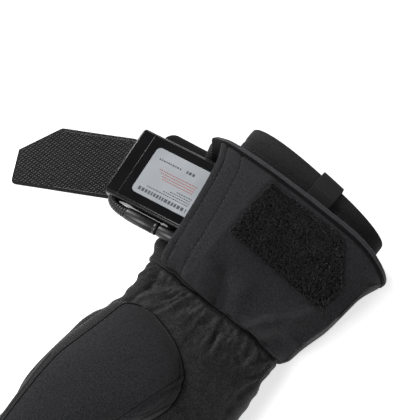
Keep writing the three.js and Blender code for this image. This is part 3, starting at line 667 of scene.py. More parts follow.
def cut(obj, height_of, keep_above):
    """Cuts a mesh along a curved surface height_of(points) and keeps one side, leaving it open."""
    points = mesh_points(obj)
    points[:, 2] -= height_of(points)
    set_mesh_points(obj, points)
    with mesh_work(obj) as work:
        bmesh.ops.bisect_plane(
            work,
            geom=work.verts[:] + work.edges[:] + work.faces[:],
            plane_co=(0, 0, 0),
            plane_no=(0, 0, 1),
            clear_inner=keep_above,
            clear_outer=not keep_above,
        )
    points = mesh_points(obj)
    points[:, 2] += height_of(points)
    set_mesh_points(obj, points)
    return obj


def open_edges(obj):
    """The loops of points along a mesh's open edges, in order, in millimetres."""
    work = bmesh.new()
    work.from_mesh(obj.data)
    beside = {}
    for edge in work.edges:
        if edge.is_boundary:
            a, b = (vertex.index for vertex in edge.verts)
            beside.setdefault(a, []).append(b)
            beside.setdefault(b, []).append(a)
    work.free()
    points = glove_points(mesh_points(obj))
    loops = []
    while beside:
        at = next(iter(beside))
        loop = [at]
        while at in beside:
            ahead = [k for k in beside.pop(at) if k in beside]
            if ahead:
                at = ahead[0]
                loop.append(at)
        loops.append(points[loop + loop[:1]])
    return loops


def laid_on(path, target, lift, reach):
    """Moves the points of a path onto a mesh straight above or below them, where it is within reach."""
    tree = BVHTree.FromObject(target, bpy.context.evaluated_depsgraph_get())
    laid = path.copy()
    for k, start in enumerate(world(path + np.array([0, 0, reach]))):
        hit = tree.ray_cast(Vector(start), Vector((0, 0, -1)), 2 * reach * MM)[0]
        if hit:
            laid[k, 2] = hit.z / MM + lift
    return laid


def seen_on(path, target, lift):
    """Moves a path onto a mesh along the photograph's lines of sight, and drops the points that miss it."""
    tree = BVHTree.FromObject(target, bpy.context.evaluated_depsgraph_get())
    eye = photo_eye()
    laid = []
    for point in world(path):
        sight = Vector(point) - eye
        place = tree.ray_cast(eye, sight)[0]
        if place:
            laid.append(place - sight.normalized() * lift * MM)
    return glove_points(np.array(laid))


def seam_thread(name, loops, radius, target, outwards):
    """A thread laid along loops of points, evened out, a little outside them and on a mesh beneath."""
    parts = []
    for loop in loops:
        far = distance_along(loop)
        count = int(far[-1])
        if count < SHORTEST_SEAM:
            continue
        places = np.linspace(0, far[-1], count, endpoint=False)
        path = at_distances(places, far, loop)
        for _ in range(4):
            path = (np.roll(path, 1, 0) + 2 * path + np.roll(path, -1, 0)) / 4
        ahead = np.roll(path, -1, 0) - np.roll(path, 1, 0)
        area = np.sum(path[:, 0] * ahead[:, 1] - path[:, 1] * ahead[:, 0])
        beside = np.stack([ahead[:, 1], -ahead[:, 0], 0 * places], -1) * np.sign(area)
        path += outwards * beside / np.maximum(np.linalg.norm(beside, axis=-1, keepdims=True), 1e-6)
        path = laid_on(path, target, radius * 0.3, 3.0)
        parts.append(tube_mesh([np.concatenate([path, path[:1]])], radius, 6))
    return join_points(name, parts)


def keep_marked(obj, mark):
    """Keeps the faces whose material index is the mark."""
    with mesh_work(obj) as work:
        others = [face for face in work.faces if face.material_index != mark]
        bmesh.ops.delete(work, geom=others, context="FACES")
    obj.data.polygons.foreach_set("material_index", [0] * len(obj.data.polygons))
    return obj


def copy_of(obj, name):
    copy = bpy.data.objects.new(name, obj.data.copy())
    bpy.context.scene.collection.objects.link(copy)
    return copy


def join_points(name, parts):
    """One object from several closed parts, each a list of points in millimetres with its faces."""
    points, faces = [], []
    for part_points, part_faces in parts:
        start = sum(len(p) for p in points)
        points.append(np.asarray(part_points).reshape(-1, 3))
        faces += [tuple(k + start for k in face) for face in part_faces]
    return solid(name, np.concatenate(points), faces)


def closed_loft(rings):
    """Points and faces of a solid through rings, with a fan over each end."""
    rows, columns = rings.shape[:2]
    points = np.concatenate([rings.reshape(-1, 3), rings[[0, -1]].mean(1)])
    faces = grid_faces(rows, columns, False, True)
    last = (rows - 1) * columns
    for j in range(columns):
        k = (j + 1) % columns
        faces.append((k, j, rows * columns))
        faces.append((last + j, last + k, rows * columns + 1))
    return points, faces


def placed(points, origin, turned):
    """Local millimetres to glove coordinates, by a turn in the frame and an origin."""
    local = np.asarray(points, float) @ np.array(turned).T
    return np.stack([origin[0] - local[..., 0], origin[1] + local[..., 1], origin[2] + local[..., 2]], -1)


def around(count):
    return np.arange(count) * 2 * np.pi / count


# Materials. A wave texture of scale WAVE_SCALE repeats once in each unit.
WAVE_SCALE = 0.314


class Shader:
    """A node material that is built up by short calls; its patterns are in millimetres of object space."""

    def __init__(self, name, colour, roughness, **sockets):
        self.material = bpy.data.materials.new(name)
        self.material.use_nodes = True
        self.tree = self.material.node_tree
        self.shader = self.tree.nodes["Principled BSDF"]
        self.shader.inputs["Base Color"].default_value = (*colour, 1)
        self.shader.inputs["Roughness"].default_value = roughness
        for key, value in sockets.items():
            self.shader.inputs[key.replace("_", " ")].default_value = value
        self.coordinates = self.tree.nodes.new("ShaderNodeTexCoord").outputs["Object"]
        self.normal = None

    def node(self, kind, inputs=None, **settings):
        made = self.tree.nodes.new(kind)
        for key, value in settings.items():
            setattr(made, key, value)
        for key, value in (inputs or {}).items():
            if isinstance(value, bpy.types.NodeSocket):
                self.tree.links.new(value, made.inputs[key])
            else:
                made.inputs[key].default_value = value
        return made

    def turned(self, angle):
        inputs = {"Vector": self.coordinates, "Rotation": (0, 0, angle)}
        return self.node("ShaderNodeMapping", inputs).outputs[0]

    def noise(self, size, detail=2.0, roughness=0.5):
        inputs = {
            "Vector": self.coordinates,
            "Scale": 1 / (size * MM),
            "Detail": detail,
            "Roughness": roughness,
        }
        return self.node("ShaderNodeTexNoise", inputs).outputs["Fac"]

    def cells(self, size):
        inputs = {"Vector": self.coordinates, "Scale": 1 / (size * MM)}
        return self.node("ShaderNodeTexVoronoi", inputs).outputs["Distance"]

    def waves(self, pitch, direction, vector=None, distortion=0.0):
        inputs = {
            "Vector": vector or self.coordinates,
            "Scale": WAVE_SCALE / (pitch * MM),
            "Distortion": distortion,
        }
        made = self.node("ShaderNodeTexWave", inputs, bands_direction=direction, wave_profile="SIN")
        return made.outputs["Fac"]

    def sum(self, a, b, share=1.0):
        scaled = self.node("ShaderNodeMath", {0: b, 1: share}, operation="MULTIPLY").outputs[0]
        return self.node("ShaderNodeMath", {0: a, 1: scaled}, operation="ADD").outputs[0]

    def product(self, a, b):
        return self.node("ShaderNodeMath", {0: a, 1: b}, operation="MULTIPLY").outputs[0]

    def blend_colours(self, factor, low, high, between=(0.35, 0.65)):
        ramp = self.node("ShaderNodeValToRGB", {"Fac": factor})
        ramp.color_ramp.elements[0].position = between[0]
        ramp.color_ramp.elements[1].position = between[1]
        ramp.color_ramp.elements[0].color = (*low, 1)
        ramp.color_ramp.elements[1].color = (*high, 1)
        self.tree.links.new(ramp.outputs["Color"], self.shader.inputs["Base Color"])
        return self

    def rough_from(self, factor, low, high):
        inputs = {"Value": factor, "To Min": low, "To Max": high}
        spread = self.node("ShaderNodeMapRange", inputs)
        self.tree.links.new(spread.outputs[0], self.shader.inputs["Roughness"])
        return self

    def bump(self, height, depth, strength=1.0):
        """Adds relief of the given depth in millimetres over what is there."""
        inputs = {"Height": height, "Strength": strength, "Distance": depth * MM}
        if self.normal:
            inputs["Normal"] = self.normal
        self.normal = self.node("ShaderNodeBump", inputs).outputs["Normal"]
        self.tree.links.new(self.normal, self.shader.inputs["Normal"])
        return self


CLOTH = {"Specular_IOR_Level": 0.18, "Sheen_Weight": 0.06, "Sheen_Roughness": 0.5}


def softshell_material():
    made = Shader("softshell", (0.02, 0.02, 0.022), 0.85, **CLOTH)
    made.blend_colours(made.noise(0.8, 3), (0.0035, 0.0035, 0.004), (0.0235, 0.0235, 0.0262), (0.3, 0.7))
    weave = made.product(
        made.waves(0.55, "DIAGONAL", made.turned(0.4)),
        made.waves(0.55, "DIAGONAL", made.turned(1.97)),
    )
    return made.bump(weave, 0.12).bump(made.noise(0.7, 2), 0.14).material


def palm_material():
    made = Shader("palm_suede", (0.012, 0.012, 0.012), 0.7, **CLOTH)
    patches = made.sum(made.noise(1.0, 3, roughness=0.7), made.noise(6, 3), 0.25)
    made.blend_colours(patches, (0.0014, 0.0014, 0.0014), (0.02, 0.02, 0.0203), (0.5, 0.78))
    made.rough_from(patches, 0.85, 0.5)
    return made.bump(made.noise(1.8, 4, roughness=0.7), 0.35).bump(made.cells(0.9), 0.1).material


def ribbed_material():
    made = Shader("ribbed_back", (0.013, 0.013, 0.014), 0.7, **CLOTH)
    ribs = made.waves(1.2, "X", distortion=0.3)
    # Painted shade and light: the colour follows the ribs' relief, near black in the hollows between them
    # and lighter on their crests.
    made.blend_colours(ribs, (0.0005, 0.0005, 0.0005), (0.017, 0.017, 0.018), (0.45, 0.85))
    return made.bump(ribs, 0.5).bump(made.product(ribs, made.waves(0.5, "Y")), 0.1).material


def knit_material():
    made = Shader("knit", (0.014, 0.014, 0.0145), 0.9, **CLOTH)
    made.blend_colours(made.noise(0.9, 4), (0.006, 0.006, 0.0064), (0.017, 0.017, 0.018), (0.35, 0.7))
    loops = made.product(made.waves(0.8, "X"), made.waves(0.8, "Y"))
    return made.bump(made.noise(6, 2), 0.4, 0.4).bump(loops, 0.12).bump(made.noise(0.5, 2), 0.1).material


def trim_material():
    made = Shader("trim_weave", (0.012, 0.012, 0.013), 0.75, **CLOTH)
    weave = made.product(made.waves(0.6, "X"), made.waves(0.6, "Y"))
    # Painted shade and light: the colour follows the weave's relief, darker in its hollows and lighter on
    # the raised threads.
    made.blend_colours(weave, (0.006, 0.006, 0.0065), (0.019, 0.019, 0.021), (0.1, 0.8))
    return made.bump(weave, 0.1).bump(made.noise(3, 2), 0.15).material


def piping_material():
    made = Shader("piping", (0.026, 0.026, 0.028), 0.7, **CLOTH)
    made.blend_colours(made.noise(1.2, 3), (0.02, 0.02, 0.022), (0.034, 0.034, 0.037))
    return made.bump(made.waves(0.7, "DIAGONAL"), 0.08).material


def hook_base_material():
    made = Shader("hook_tape_weave", (0.01, 0.01, 0.011), 0.65, **CLOTH)
    along = made.turned(-STRAP_ANGLE)
    weave = made.product(made.waves(0.75, "X", along), made.waves(0.95, "Y", along))
    # Painted shade and light: the colour follows the weave's relief, darker in its hollows and lighter on
    # the raised threads.
    made.blend_colours(weave, (0.003, 0.003, 0.003), (0.012, 0.012, 0.013), (0.1, 0.7))
    return made.bump(weave, 0.2).material


def thread_material(name, colour, roughness, specular=0.4, spread=0.5):
    made = Shader(name, colour, roughness, Specular_IOR_Level=specular)
    dark = tuple(c * (1 - spread) for c in colour)
    bright = tuple(c * (1 + spread) for c in colour)
    made.blend_colours(made.noise(0.9, 2), dark, bright)
    return made.bump(made.waves(0.35, "DIAGONAL"), 0.03).material


def gloss_material():
    made = Shader("gloss_case", (0.004, 0.004, 0.0045), 0.12, Specular_IOR_Level=0.2)
    made.blend_colours(made.noise(30, 2), (0.003, 0.003, 0.0035), (0.006, 0.006, 0.0065))
    made.rough_from(made.noise(5, 5, roughness=0.7), 0.08, 0.15)
    return made.bump(made.noise(9, 2), 0.06, 0.5).material


def plug_material():
    made = Shader("plug_rubber", (0.006, 0.006, 0.0065), 0.35)
    made.blend_colours(made.noise(2, 3), (0.004, 0.004, 0.0045), (0.01, 0.01, 0.011))
    made.rough_from(made.noise(1.5, 3), 0.34, 0.5)
    return made.bump(made.noise(0.6, 2), 0.03).material


def label_material():
    made = Shader("label_film", (0.26, 0.28, 0.3), 0.6, Specular_IOR_Level=0.2)
    made.blend_colours(made.noise(25, 3), (0.235, 0.25, 0.265), (0.285, 0.3, 0.32))
    return made.bump(made.noise(6, 2), 0.04, 0.5).material


def print_material(name, colour):
    made = Shader(name, colour, 0.5)
    made.blend_colours(made.noise(0.4, 2), tuple(c * 0.8 for c in colour), tuple(c * 1.2 for c in colour))
    return made.bump(made.noise(0.5, 2), 0.01).material


def floor_material():
    made = Shader("pale_floor", (0.86, 0.86, 0.86), 0.7, Emission_Color=(1, 1, 1, 1), Emission_Strength=0.55)
    made.blend_colours(made.noise(400, 2), (0.85, 0.85, 0.85), (0.88, 0.88, 0.88))
    return made.material


MATERIALS = {
    "softshell": softshell_material(),
    "palm": palm_material(),
    "ribbed": ribbed_material(),
    "knit": knit_material(),
    "trim": trim_material(),
    "piping": piping_material(),
    "hook_base": hook_base_material(),
    "hooks": thread_material("hook_plastic", (0.105, 0.105, 0.109), 0.5),
    "pile": thread_material("pile_loops", (0.0065, 0.0065, 0.0065), 0.34, 0.65, 0.95),
    "pile_base": thread_material("pile_ground", (0.002, 0.002, 0.002), 0.9, 0.1),
    "thread": thread_material("stitch_thread", (0.02, 0.02, 0.021), 0.5),
    "seam": thread_material("seam_thread", (0.0025, 0.0025, 0.0025), 0.8, 0.15),
    "gloss": gloss_material(),
    "plug": plug_material(),
    "label": label_material(),
    "print_grey": print_material("print_grey", (0.03, 0.035, 0.045)),
    "print_red": print_material("print_red", (0.36, 0.1, 0.085)),
    "floor": floor_material(),
}


def finish_piece(piece, material, slot_name, *nodes):
    """Gives a piece its material, rides it on the body and lets it stand for CAD nodes."""
    piece.data.materials.clear()
    piece.data.materials.append(MATERIALS[material])
    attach(piece, "root")
    if nodes:
        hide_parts(*nodes)
    return piece


# Camera at the photograph's angle
CAMERA_AZIMUTH = math.radians(-50.9)
CAMERA_ELEVATION = math.radians(72.0)
CAMERA_TARGET = (35.8, 41.9, 30.0)
CAMERA_DISTANCE = 900.0
CAMERA_LENS = 124.4


def photo_direction():
    """Unit vector from the glove towards the place that the photograph was taken from."""
    flat = math.cos(CAMERA_ELEVATION)
    return Vector(
        (
            math.sin(CAMERA_AZIMUTH) * flat,
            -math.cos(CAMERA_AZIMUTH) * flat,
            math.sin(CAMERA_ELEVATION),
        )
    )


def photo_eye():
    return Vector(world(CAMERA_TARGET)) + photo_direction() * CAMERA_DISTANCE * MM


def make_camera():
    data = bpy.data.cameras.new("camera")
    data.lens = CAMERA_LENS
    data.sensor_width = 36.0
    data.clip_start, data.clip_end = 0.01, 20.0
    camera = bpy.data.objects.new("camera", data)
    bpy.context.scene.collection.objects.link(camera)
    camera.location = photo_eye()
    camera.rotation_mode = "QUATERNION"
    camera.rotation_quaternion = (-photo_direction()).to_track_quat("-Z", "Y")
    bpy.context.scene.camera = camera


# Gauntlet tube and pocket panel
# Folds of the panel: start, bend and end as places on the glove, height, width to the left and right
PANEL_CREASES = [
    ((88, -23), (74, -27), (66, -37), 4.2, 8.0, 2.6),
    ((68, -36), (60, -44), (41, -51), 3.2, 8.0, 3.2),
    ((90, -32), (80, -36), (66, -48), -3.0, 5.0, 6.0),
    ((88, -1), (76, 1), (64, 6), -4.4, 3.8, 4.2),
    ((88, 10), (77, 13), (66, 18), 2.2, 5.0, 4.5),
    ((88, -11), (77, -9), (62, -8), 2.2, 6.0, 5.0),
    ((30, -60), (22, -40), (26, -10), -0.7, 12.0, 8.0),
]
PANEL_TUCK = 2.9
TUBE_TUCK = 2.3


def make_tube():
    along = ends_refined(GAUNTLET_LENGTH, 1.5)
    turn = around(200)
    points = gauntlet_point(along[:, None], turn[None], -GAUNTLET_WALL / 2)
    normals = ring_normals(points)
    thumb_edge = np.maximum(0, -np.cos(turn))[None] ** 2 * np.clip((along[:, None] - 40) / 30, 0, 1)
    puffs = 0.9 * thumb_edge * (np.cos(2 * np.pi * along[:, None] / 12 + 0.6) - 0.6)
    relief = puffs + 0.35 * noise_at(points, 18) + tuck(GAUNTLET_LENGTH - along, TUBE_TUCK, 6.0)[:, None]
    relief = relief * np.where(points[..., 2] < 2.2, 0, 1)
    points = points + normals * relief[..., None]
    points[..., 0] += seam_wave(points[..., 1]) * bell(GAUNTLET_LENGTH - along[:, None], SEAM_FADE)
    piece = cloth_wall("cuff_back", points, GAUNTLET_WALL, True)
    finish_piece(piece, "ribbed", "back_fabric", "gauntlet_tube")


def make_panel():
    along = CLEARANCE + ends_refined(GAUNTLET_LENGTH - 2 * CLEARANCE, 0.9)
    width = 175.0
    share = ends_refined(width, 0.9) / width
    rows = along[:, None]
    points = panel_point(rows, panel_turn(rows, share[None]), CLEARANCE + PANEL_WALL / 2)
    normals = grid_normals(points)
    if normals[len(along) // 2, len(share) // 2, 2] < 0:
        normals = -normals
    _, mouth = from_ends(points, 1)
    hem, wrist = from_ends(points, 0)
    sewn = sum(tuck(mouth - row, 0.6, 0.8) for row in MOUTH_ROWS)
    near_rows = sum(bell(mouth - row, 2) for row in MOUTH_ROWS)
    pucker = 0.2 * np.cos(2 * np.pi * rows / STITCH_PITCH) * near_rows
    swell = 0.3 * bell(mouth - 2.2, 1.8) + 0.25 * bell(mouth - 10.5, 4)
    pulled = points * np.array([0.25, 1.0, 1.0])
    drawn = 0.9 * bell(wrist, 9) * noise_at(pulled, 8, 3.1) + tuck(wrist, PANEL_TUCK, 4.0)
    broad = 0.45 * noise_at(points, 26, 7.7) + 0.1 * noise_at(points, 9, 1.3)
    folds = creases(points, PANEL_CREASES) * np.clip(normals[..., 2] * 2, 0, 1)
    relief = sewn + pucker + swell + drawn + folds
    relief += broad * np.clip(hem / 8, 0, 1) + tuck(hem, 0.6, 1.6)
    points = points + normals * relief[..., None]
    points[..., 0] += seam_wave(points[..., 1]) * bell(wrist, SEAM_FADE)
    piece = cloth_wall("pocket_shell", points, PANEL_WALL)
    finish_piece(piece, "softshell", "softshell", "pocket_panel")
    surface = points + normals * PANEL_WALL / 2
    sewn_rows = np.arange(4, len(along) - 4)
    for number, inset in enumerate(MOUTH_ROWS, 1):
        columns = np.argmin(np.abs(mouth - inset), axis=1)[sewn_rows]
        line, up = surface[sewn_rows, columns], normals[sewn_rows, columns]
        finish_piece(stitches(f"mouth_stitches_{number}", line, up), "thread", "trim")


def make_binding():
    """Rolled edge with a groove next to the panel, and the lining's edge inside the pocket's mouth."""
    turns, angles = 360, 40
    turn = around(turns)
    angle = around(angles)
    half = BINDING_WIDTH / 2
    mouth_turn = float(panel_turn(np.array(0.0), 1.0))
    lap = 0.06
    over = 1 / (1 + np.exp((turn - mouth_turn) / lap))
    over = np.maximum(over, 1 / (1 + np.exp((2 * np.pi + PANEL_WRAP - turn) / lap)))
    outer = (BINDING_PROUD + over * PANEL_TOP)[:, None]
    inner = -GAUNTLET_WALL
    profile = signed_power(np.sin(angle), 0.7)
    groove = 2.2 * np.clip((angle - math.radians(100)) / 0.35, 0, 1) * (angle < math.pi)
    grow = inner + (outer - inner) * (profile[None] + 1) / 2 - groove[None]
    section = gauntlet_section(np.zeros_like(grow))
    side, height = section_point(section, turn[:, None] + 0 * grow, grow)
    across = half * signed_power(np.cos(angle), 0.7)
    along = swept(-CLEARANCE - half - across[None] + 0 * side, side)
    upper = np.maximum(0, np.sin(turn))[:, None]
    ripple = 0.25 * noise_at(np.stack([along, side, height], -1), 6, 2.7) * upper
    points = np.stack([along + 1.2 * ripple, side, np.maximum(height + ripple, 0)], -1)
    piece = solid("hem_piping", points.reshape(-1, 3), grid_faces(turns, angles, True, True))
    finish_piece(piece, "piping", "trim", "hem_binding")
    groove_turn = np.linspace(PANEL_WRAP + 0.08, mouth_turn - 0.02, 150)
    groove_line = panel_point(0.1 + 0 * groove_turn, groove_turn, PANEL_TOP - 0.35)
    finish_piece(tubes("hem_groove", [groove_line], 0.6), "seam", "trim")
    depth = np.linspace(-1.5, 15, 22)[:, None]
    spread = np.linspace(0, 1, 18)[None]
    lining_turn = mouth_turn - 0.05 + spread * 0.3 * (1 - np.maximum(depth, 0) / 17)
    lining = gauntlet_point(depth + 0 * lining_turn, lining_turn, 1.0 + 1.6 * bell(depth, 5))
    finish_piece(cloth_wall("pocket_lining", lining, 0.8), "seam", "trim")


# Knit inner cuff and its pull tab
def make_cuff():
    length = CUFF_END - CUFF_START
    place = ends_refined(length, 1.4) / length
    turn = around(220)
    points = cuff_point(place[:, None], turn[None] + 0 * place[:, None], -CUFF_WALL / 2)
    rim, inner_end = from_ends(points, 0)
    normals = ring_normals(points)
    ease = np.clip(1 - (rim - 14) / 6, 0, 1)
    soft = 0.7 * noise_at(points * np.array([0.5, 1, 1]), 22, 4.2) - 0.25
    relief = tuck(rim - CUFF_ROW, 0.35, 0.8) + 0.18 * bell(rim - 4.5, 3) + ease * soft
    relief += tuck(inner_end, TUBE_TUCK + 0.3, 9.0)
    points = points + normals * (relief * np.where(points[..., 2] < 6.5, 0, 1))[..., None]
    piece = cloth_wall("knit_sleeve", points, CUFF_WALL, True)
    finish_piece(piece, "knit", "knit", "knit_cuff")
    surface = points + normals * CUFF_WALL / 2
    row = int(np.argmin(np.abs(rim[:, 0] - CUFF_ROW)))
    line = np.concatenate([surface[row], surface[row, :1]])
    up = np.concatenate([normals[row], normals[row, :1]])
    finish_piece(stitches("cuff_hem_stitches", line, up, 2.6, 1.9, 0.18), "thread", "trim")


def make_tab():
    across = ends_refined(TAB_WIDTH, 1.2)
    side = (TAB_SIDE + TAB_WIDTH / 2 - across)[:, None]
    turn = np.arccos(-np.sign(side) * (np.abs(side) / CUFF_HALF) ** (SQUARENESS / 2))
    leg = TAB_LENGTH / (CUFF_END - CUFF_START)
    proud = CLEARANCE + TAB_THICKNESS / 2 + 0.35
    legs = np.concatenate([[1, 0.995, 0.98, 0.95], np.linspace(0.9, 0, 22)])
    outside = cuff_point(legs[None] * leg, turn + 0 * legs[None], proud)
    inside = cuff_point(legs[::-1][None] * leg, turn + 0 * legs[None], -CUFF_WALL - proud)
    rim = cuff_point(np.zeros((1, 1)), turn, -CUFF_WALL / 2)
    bend = np.linspace(math.pi / 2, -math.pi / 2, 14)[1:-1]
    radius = CUFF_WALL / 2 + proud
    fold = rim + radius * np.stack([-np.cos(bend), 0 * bend, np.sin(bend)], -1)[None]
    points = np.concatenate([outside, fold, inside], 1)
    weave = 0.05 * np.cos(across * 2 * np.pi / 2.2)
    points[..., 2] += weave[:, None]
    piece = cloth_wall("rim_tab", points, TAB_THICKNESS)
    finish_piece(piece, "trim", "trim", "pull_tab")
    up = np.array([0, 0, 1.0])
    for number, step in enumerate((5, 14), 1):
        line = points[3:-3, step] + up * TAB_THICKNESS / 2
        row = stitches(f"tab_stitches_{number}", line, np.tile(up, (len(line), 1)), 2.2, 1.6, 0.17)
        finish_piece(row, "thread", "trim")


# Loop pile patch
def patch_point(across, share, grow):
    """A point of the loop patch: across from its hem edge in millimetres, share from the thumb edge."""
    cut_back = 15.5 * np.maximum(0, 1 - across / (LOOP_WIDTH / 2))
    along = LOOP_FROM_HEM + across
    target = LOOP_EDGE - share * (LOOP_LENGTH - cut_back)
    section = gauntlet_section(along)
    wide = {key: value + PANEL_TOP for key, value in section.items()}
    return panel_point(along, turn_at_side(wide, target), PANEL_TOP + grow)


def make_patch():
    across = ends_refined(LOOP_WIDTH, 1.0)
    share = ends_refined(LOOP_LENGTH, 1.0) / LOOP_LENGTH
    points = patch_point(across[:, None], share[None], CLEARANCE + PILE_GROUND / 2)
    piece = cloth_wall("pile_ground", points, PILE_GROUND)
    finish_piece(piece, "pile_base", "loop_pile", "loop_patch")
    random = np.random.default_rng(11)
    rows, columns = 58, 97
    count = rows * columns
    row, column = (k.ravel() for k in np.meshgrid(np.arange(rows), np.arange(columns), indexing="ij"))
    spot_across = LOOP_WIDTH * (row + random.uniform(-0.5, 1.5, count)) / rows
    spot_share = (column + random.uniform(-0.5, 1.5, count)) / columns
    foot = patch_point(spot_across, spot_share, 1.1)
    lean = random.uniform(0, 2 * np.pi, count)
    size = random.uniform(0.4, 0.9, count)
    tall = random.uniform(0.5, 2.1, count)
    arc = np.linspace(-0.2 * np.pi, 1.35 * np.pi, 6)
    flat = np.stack([np.cos(lean), np.sin(lean), 0 * lean], -1)
    sway = np.stack([-np.sin(lean), np.cos(lean), 0 * lean], -1) * random.uniform(-0.9, 0.9, count)[:, None]
    path = (
        foot[:, None]
        + flat[:, None] * (size[:, None] * np.cos(arc)[None])[..., None]
        + sway[:, None] * np.sin(arc)[None, :, None]
    )
    path[..., 2] += tall[:, None] * np.sin(arc)[None]
    loops = tubes("pile_loops", path, 0.15, 3)
    finish_piece(loops, "pile", "loop_pile")


# Closure strap
def strap_matrix():
    drop = math.asin(GAUNTLET_HEIGHT * 0.16 / STRAP_REACH)
    return Matrix.Rotation(STRAP_ANGLE, 3, "Z") @ Matrix.Rotation(-drop, 3, "X")


STRAP_ORIGIN = (STRAP_FROM_HEM, GAUNTLET_HALF * 0.89, GAUNTLET_HEIGHT * 0.17)


def strap_sides(reach):
    """Across extents of the strap at a reach along it: finger side, hem side."""
    half = STRAP_WIDTH / 2
    long, wide = STRAP_CHAMFER
    corner = 3.0
    past = np.maximum(0, reach - (STRAP_REACH - corner))
    rounding = corner - np.sqrt(np.maximum(0, corner**2 - past**2))
    chamfer = wide * np.maximum(0, reach - (STRAP_REACH - long)) / long
    root = 14.0 * np.clip((STRAP_REACH * 0.4 - reach) / (STRAP_REACH * 0.4 + 20), 0, 1)
    return -half + rounding, half - chamfer - root


def strap_point(share, reach, rise):
    left, right = strap_sides(reach)
    across = left + share * (right - left)
    lift = 0.35 * np.sin(reach / 17.0 + 0.8) + 0.25 * np.sin(across / 9.0 + reach / 31.0)
    height = rise + STRAP_THICKNESS / 2 + lift * np.clip(reach / 30, 0, 1)
    local = np.stack([across, reach + 0 * across, height], -1)
    return placed(local, STRAP_ORIGIN, strap_matrix())


def make_hooks():
    """Rows of small hooks on the strap, leaning forwards and backwards like a checkerboard."""
    pitch_along, pitch_across = 1.75, 1.6
    feet, ways = [], []
    for number, row in enumerate(np.arange(2, STRAP_REACH - 2, pitch_along)):
        left, right = strap_sides(row)
        places = np.arange(left + 2.2, right - 2.0, pitch_across) + (number % 2) * pitch_across / 2
        feet.append(strap_point((places - left) / (right - left), row, STRAP_THICKNESS * 0.34))
        ways.append(np.where((np.arange(len(places)) + number // 2) % 2 > 0, 1.0, -1.0))
    forward = np.array(strap_matrix())[:, 1] * np.array([-1, 1, 1])
    arc = np.linspace(0, 1.25 * np.pi, 6)
    reach_out = 0.4 * (1 - np.cos(arc))
    lean = np.concatenate(ways)[:, None, None] * forward * reach_out[None, :, None]
    path = np.concatenate(feet)[:, None] + lean
    path[..., 2] += 0.62 * np.sin(arc)[None]
    finish_piece(tubes("strap_hooks", path, 0.24, 4), "hooks", "hook_tape")


def make_strap():
    reach = ends_refined(STRAP_REACH + 1, 1.3) - 1
    share = ends_refined(STRAP_WIDTH, 1.2) / STRAP_WIDTH
    points = strap_point(share[None], reach[:, None], 0.0)
    points[..., 2] = np.maximum(points[..., 2], 1.0)
    piece = cloth_wall("hook_strap", points, STRAP_THICKNESS * 0.75)
    finish_piece(piece, "hook_base", "hook_tape", "closure_strap")
    make_hooks()
    for number, inset in enumerate((0.05, 0.95), 1):
        line = strap_point(np.full(90, inset), np.linspace(2, STRAP_REACH - 27, 90), STRAP_THICKNESS * 0.375)
        up = np.tile([0, 0, 1.0], (90, 1))
        row = stitches(f"strap_selvedge_{number}", line, up, 1.5, 1.25, 0.2)
        finish_piece(row, "hooks", "hook_tape")


# Pocket flap
def make_flap():
    half_width, reach, corner = FLAP_WIDTH / 2, FLAP_REACH + FLAP_LONGER, 7.0
    out = ends_refined(reach + 6, 1.0) - 6
    share = ends_refined(FLAP_WIDTH, 1.1) / FLAP_WIDTH
    past = np.maximum(0, out - (reach - corner))
    narrow = corner - np.sqrt(np.maximum(0, corner**2 - past**2))
    half_at = (half_width - narrow)[:, None]
    across = (share[None] * 2 - 1) * half_at
    edge = np.minimum(half_at - np.abs(across), (reach - out)[:, None])
    rim = 0.35 * bell(edge - 2.0, 1.6) + tuck(edge - 4.6, 0.3, 0.7)
    local = np.stack([across, out[:, None] + 0 * across, FLAP_THICKNESS / 2 + rim], -1)
    turned = Matrix.Rotation(PACK_YAW, 3, "Z") @ Matrix.Rotation(-PACK_PITCH * 0.6, 3, "X")
    origin = (half_width + BINDING_WIDTH, GAUNTLET_HALF * 0.92, GAUNTLET_HEIGHT * 0.42)
    piece = cloth_wall("flap", placed(local, origin, turned), FLAP_THICKNESS * 0.9)
    finish_piece(piece, "trim", "trim", "pocket_flap")


# Battery pack and its plug, in the pack's own frame
PACK_TURN = Matrix.Rotation(PACK_YAW, 3, "Z") @ Matrix.Rotation(-PACK_PITCH, 3, "X")
PACK_REACH = (PACK_OUT - PACK_LENGTH / 2) * math.cos(PACK_PITCH)
PACK_ALONG = MOUTH_ALONG + PACK_REACH * math.sin(PACK_YAW)
PACK_SIDE = MOUTH_SIDE + PACK_REACH * math.cos(PACK_YAW)
PACK_ORIGIN = (PACK_ALONG, PACK_SIDE, seat_height(PACK_ALONG, PACK_SIDE) + CLEARANCE)


def on_pack(name, points, faces):
    """A solid from points in the pack's own frame."""
    return solid(name, placed(points, PACK_ORIGIN, PACK_TURN), faces)


def rounded_section(width, thickness, corner, per_corner, groove=0.0):
    """Outline of a rounded slab's section, with a fine groove along the middle of each upper edge."""
    points = []
    for k, (sx, sz) in enumerate([(1, 1), (-1, 1), (-1, -1), (1, -1)]):
        for step in range(per_corner + 1):
            angle = (k + step / per_corner) * math.pi / 2
            reach = corner - (groove if step == per_corner // 2 and sz > 0 else 0.0)
            x = sx * (width / 2 - corner) + reach * math.cos(angle)
            z = sz * (thickness / 2 - corner) + reach * math.sin(angle)
            points.append((x, z))
        flat = width - 2 * corner if k % 2 == 0 else thickness - 2 * corner
        ahead = [(-1, 0), (0, -1), (1, 0), (0, 1)][k]
        corner_end = points[-1]
        for place in (0.4, flat - 0.4):
            points.append((corner_end[0] + ahead[0] * place, corner_end[1] + ahead[1] * place))
    return np.array(points)


# Distance from an end and how far the outline is drawn in there
ROUNDED_END = [(0.0, 1.8), (0.0, 1.2), (0.12, 0.72), (0.4, 0.31), (0.8, 0.07), (1.2, 0.0), (1.7, 0.0)]
CUT_END = [(0.0, 0.3), (0.0, 0.0), (0.3, 0.0)]


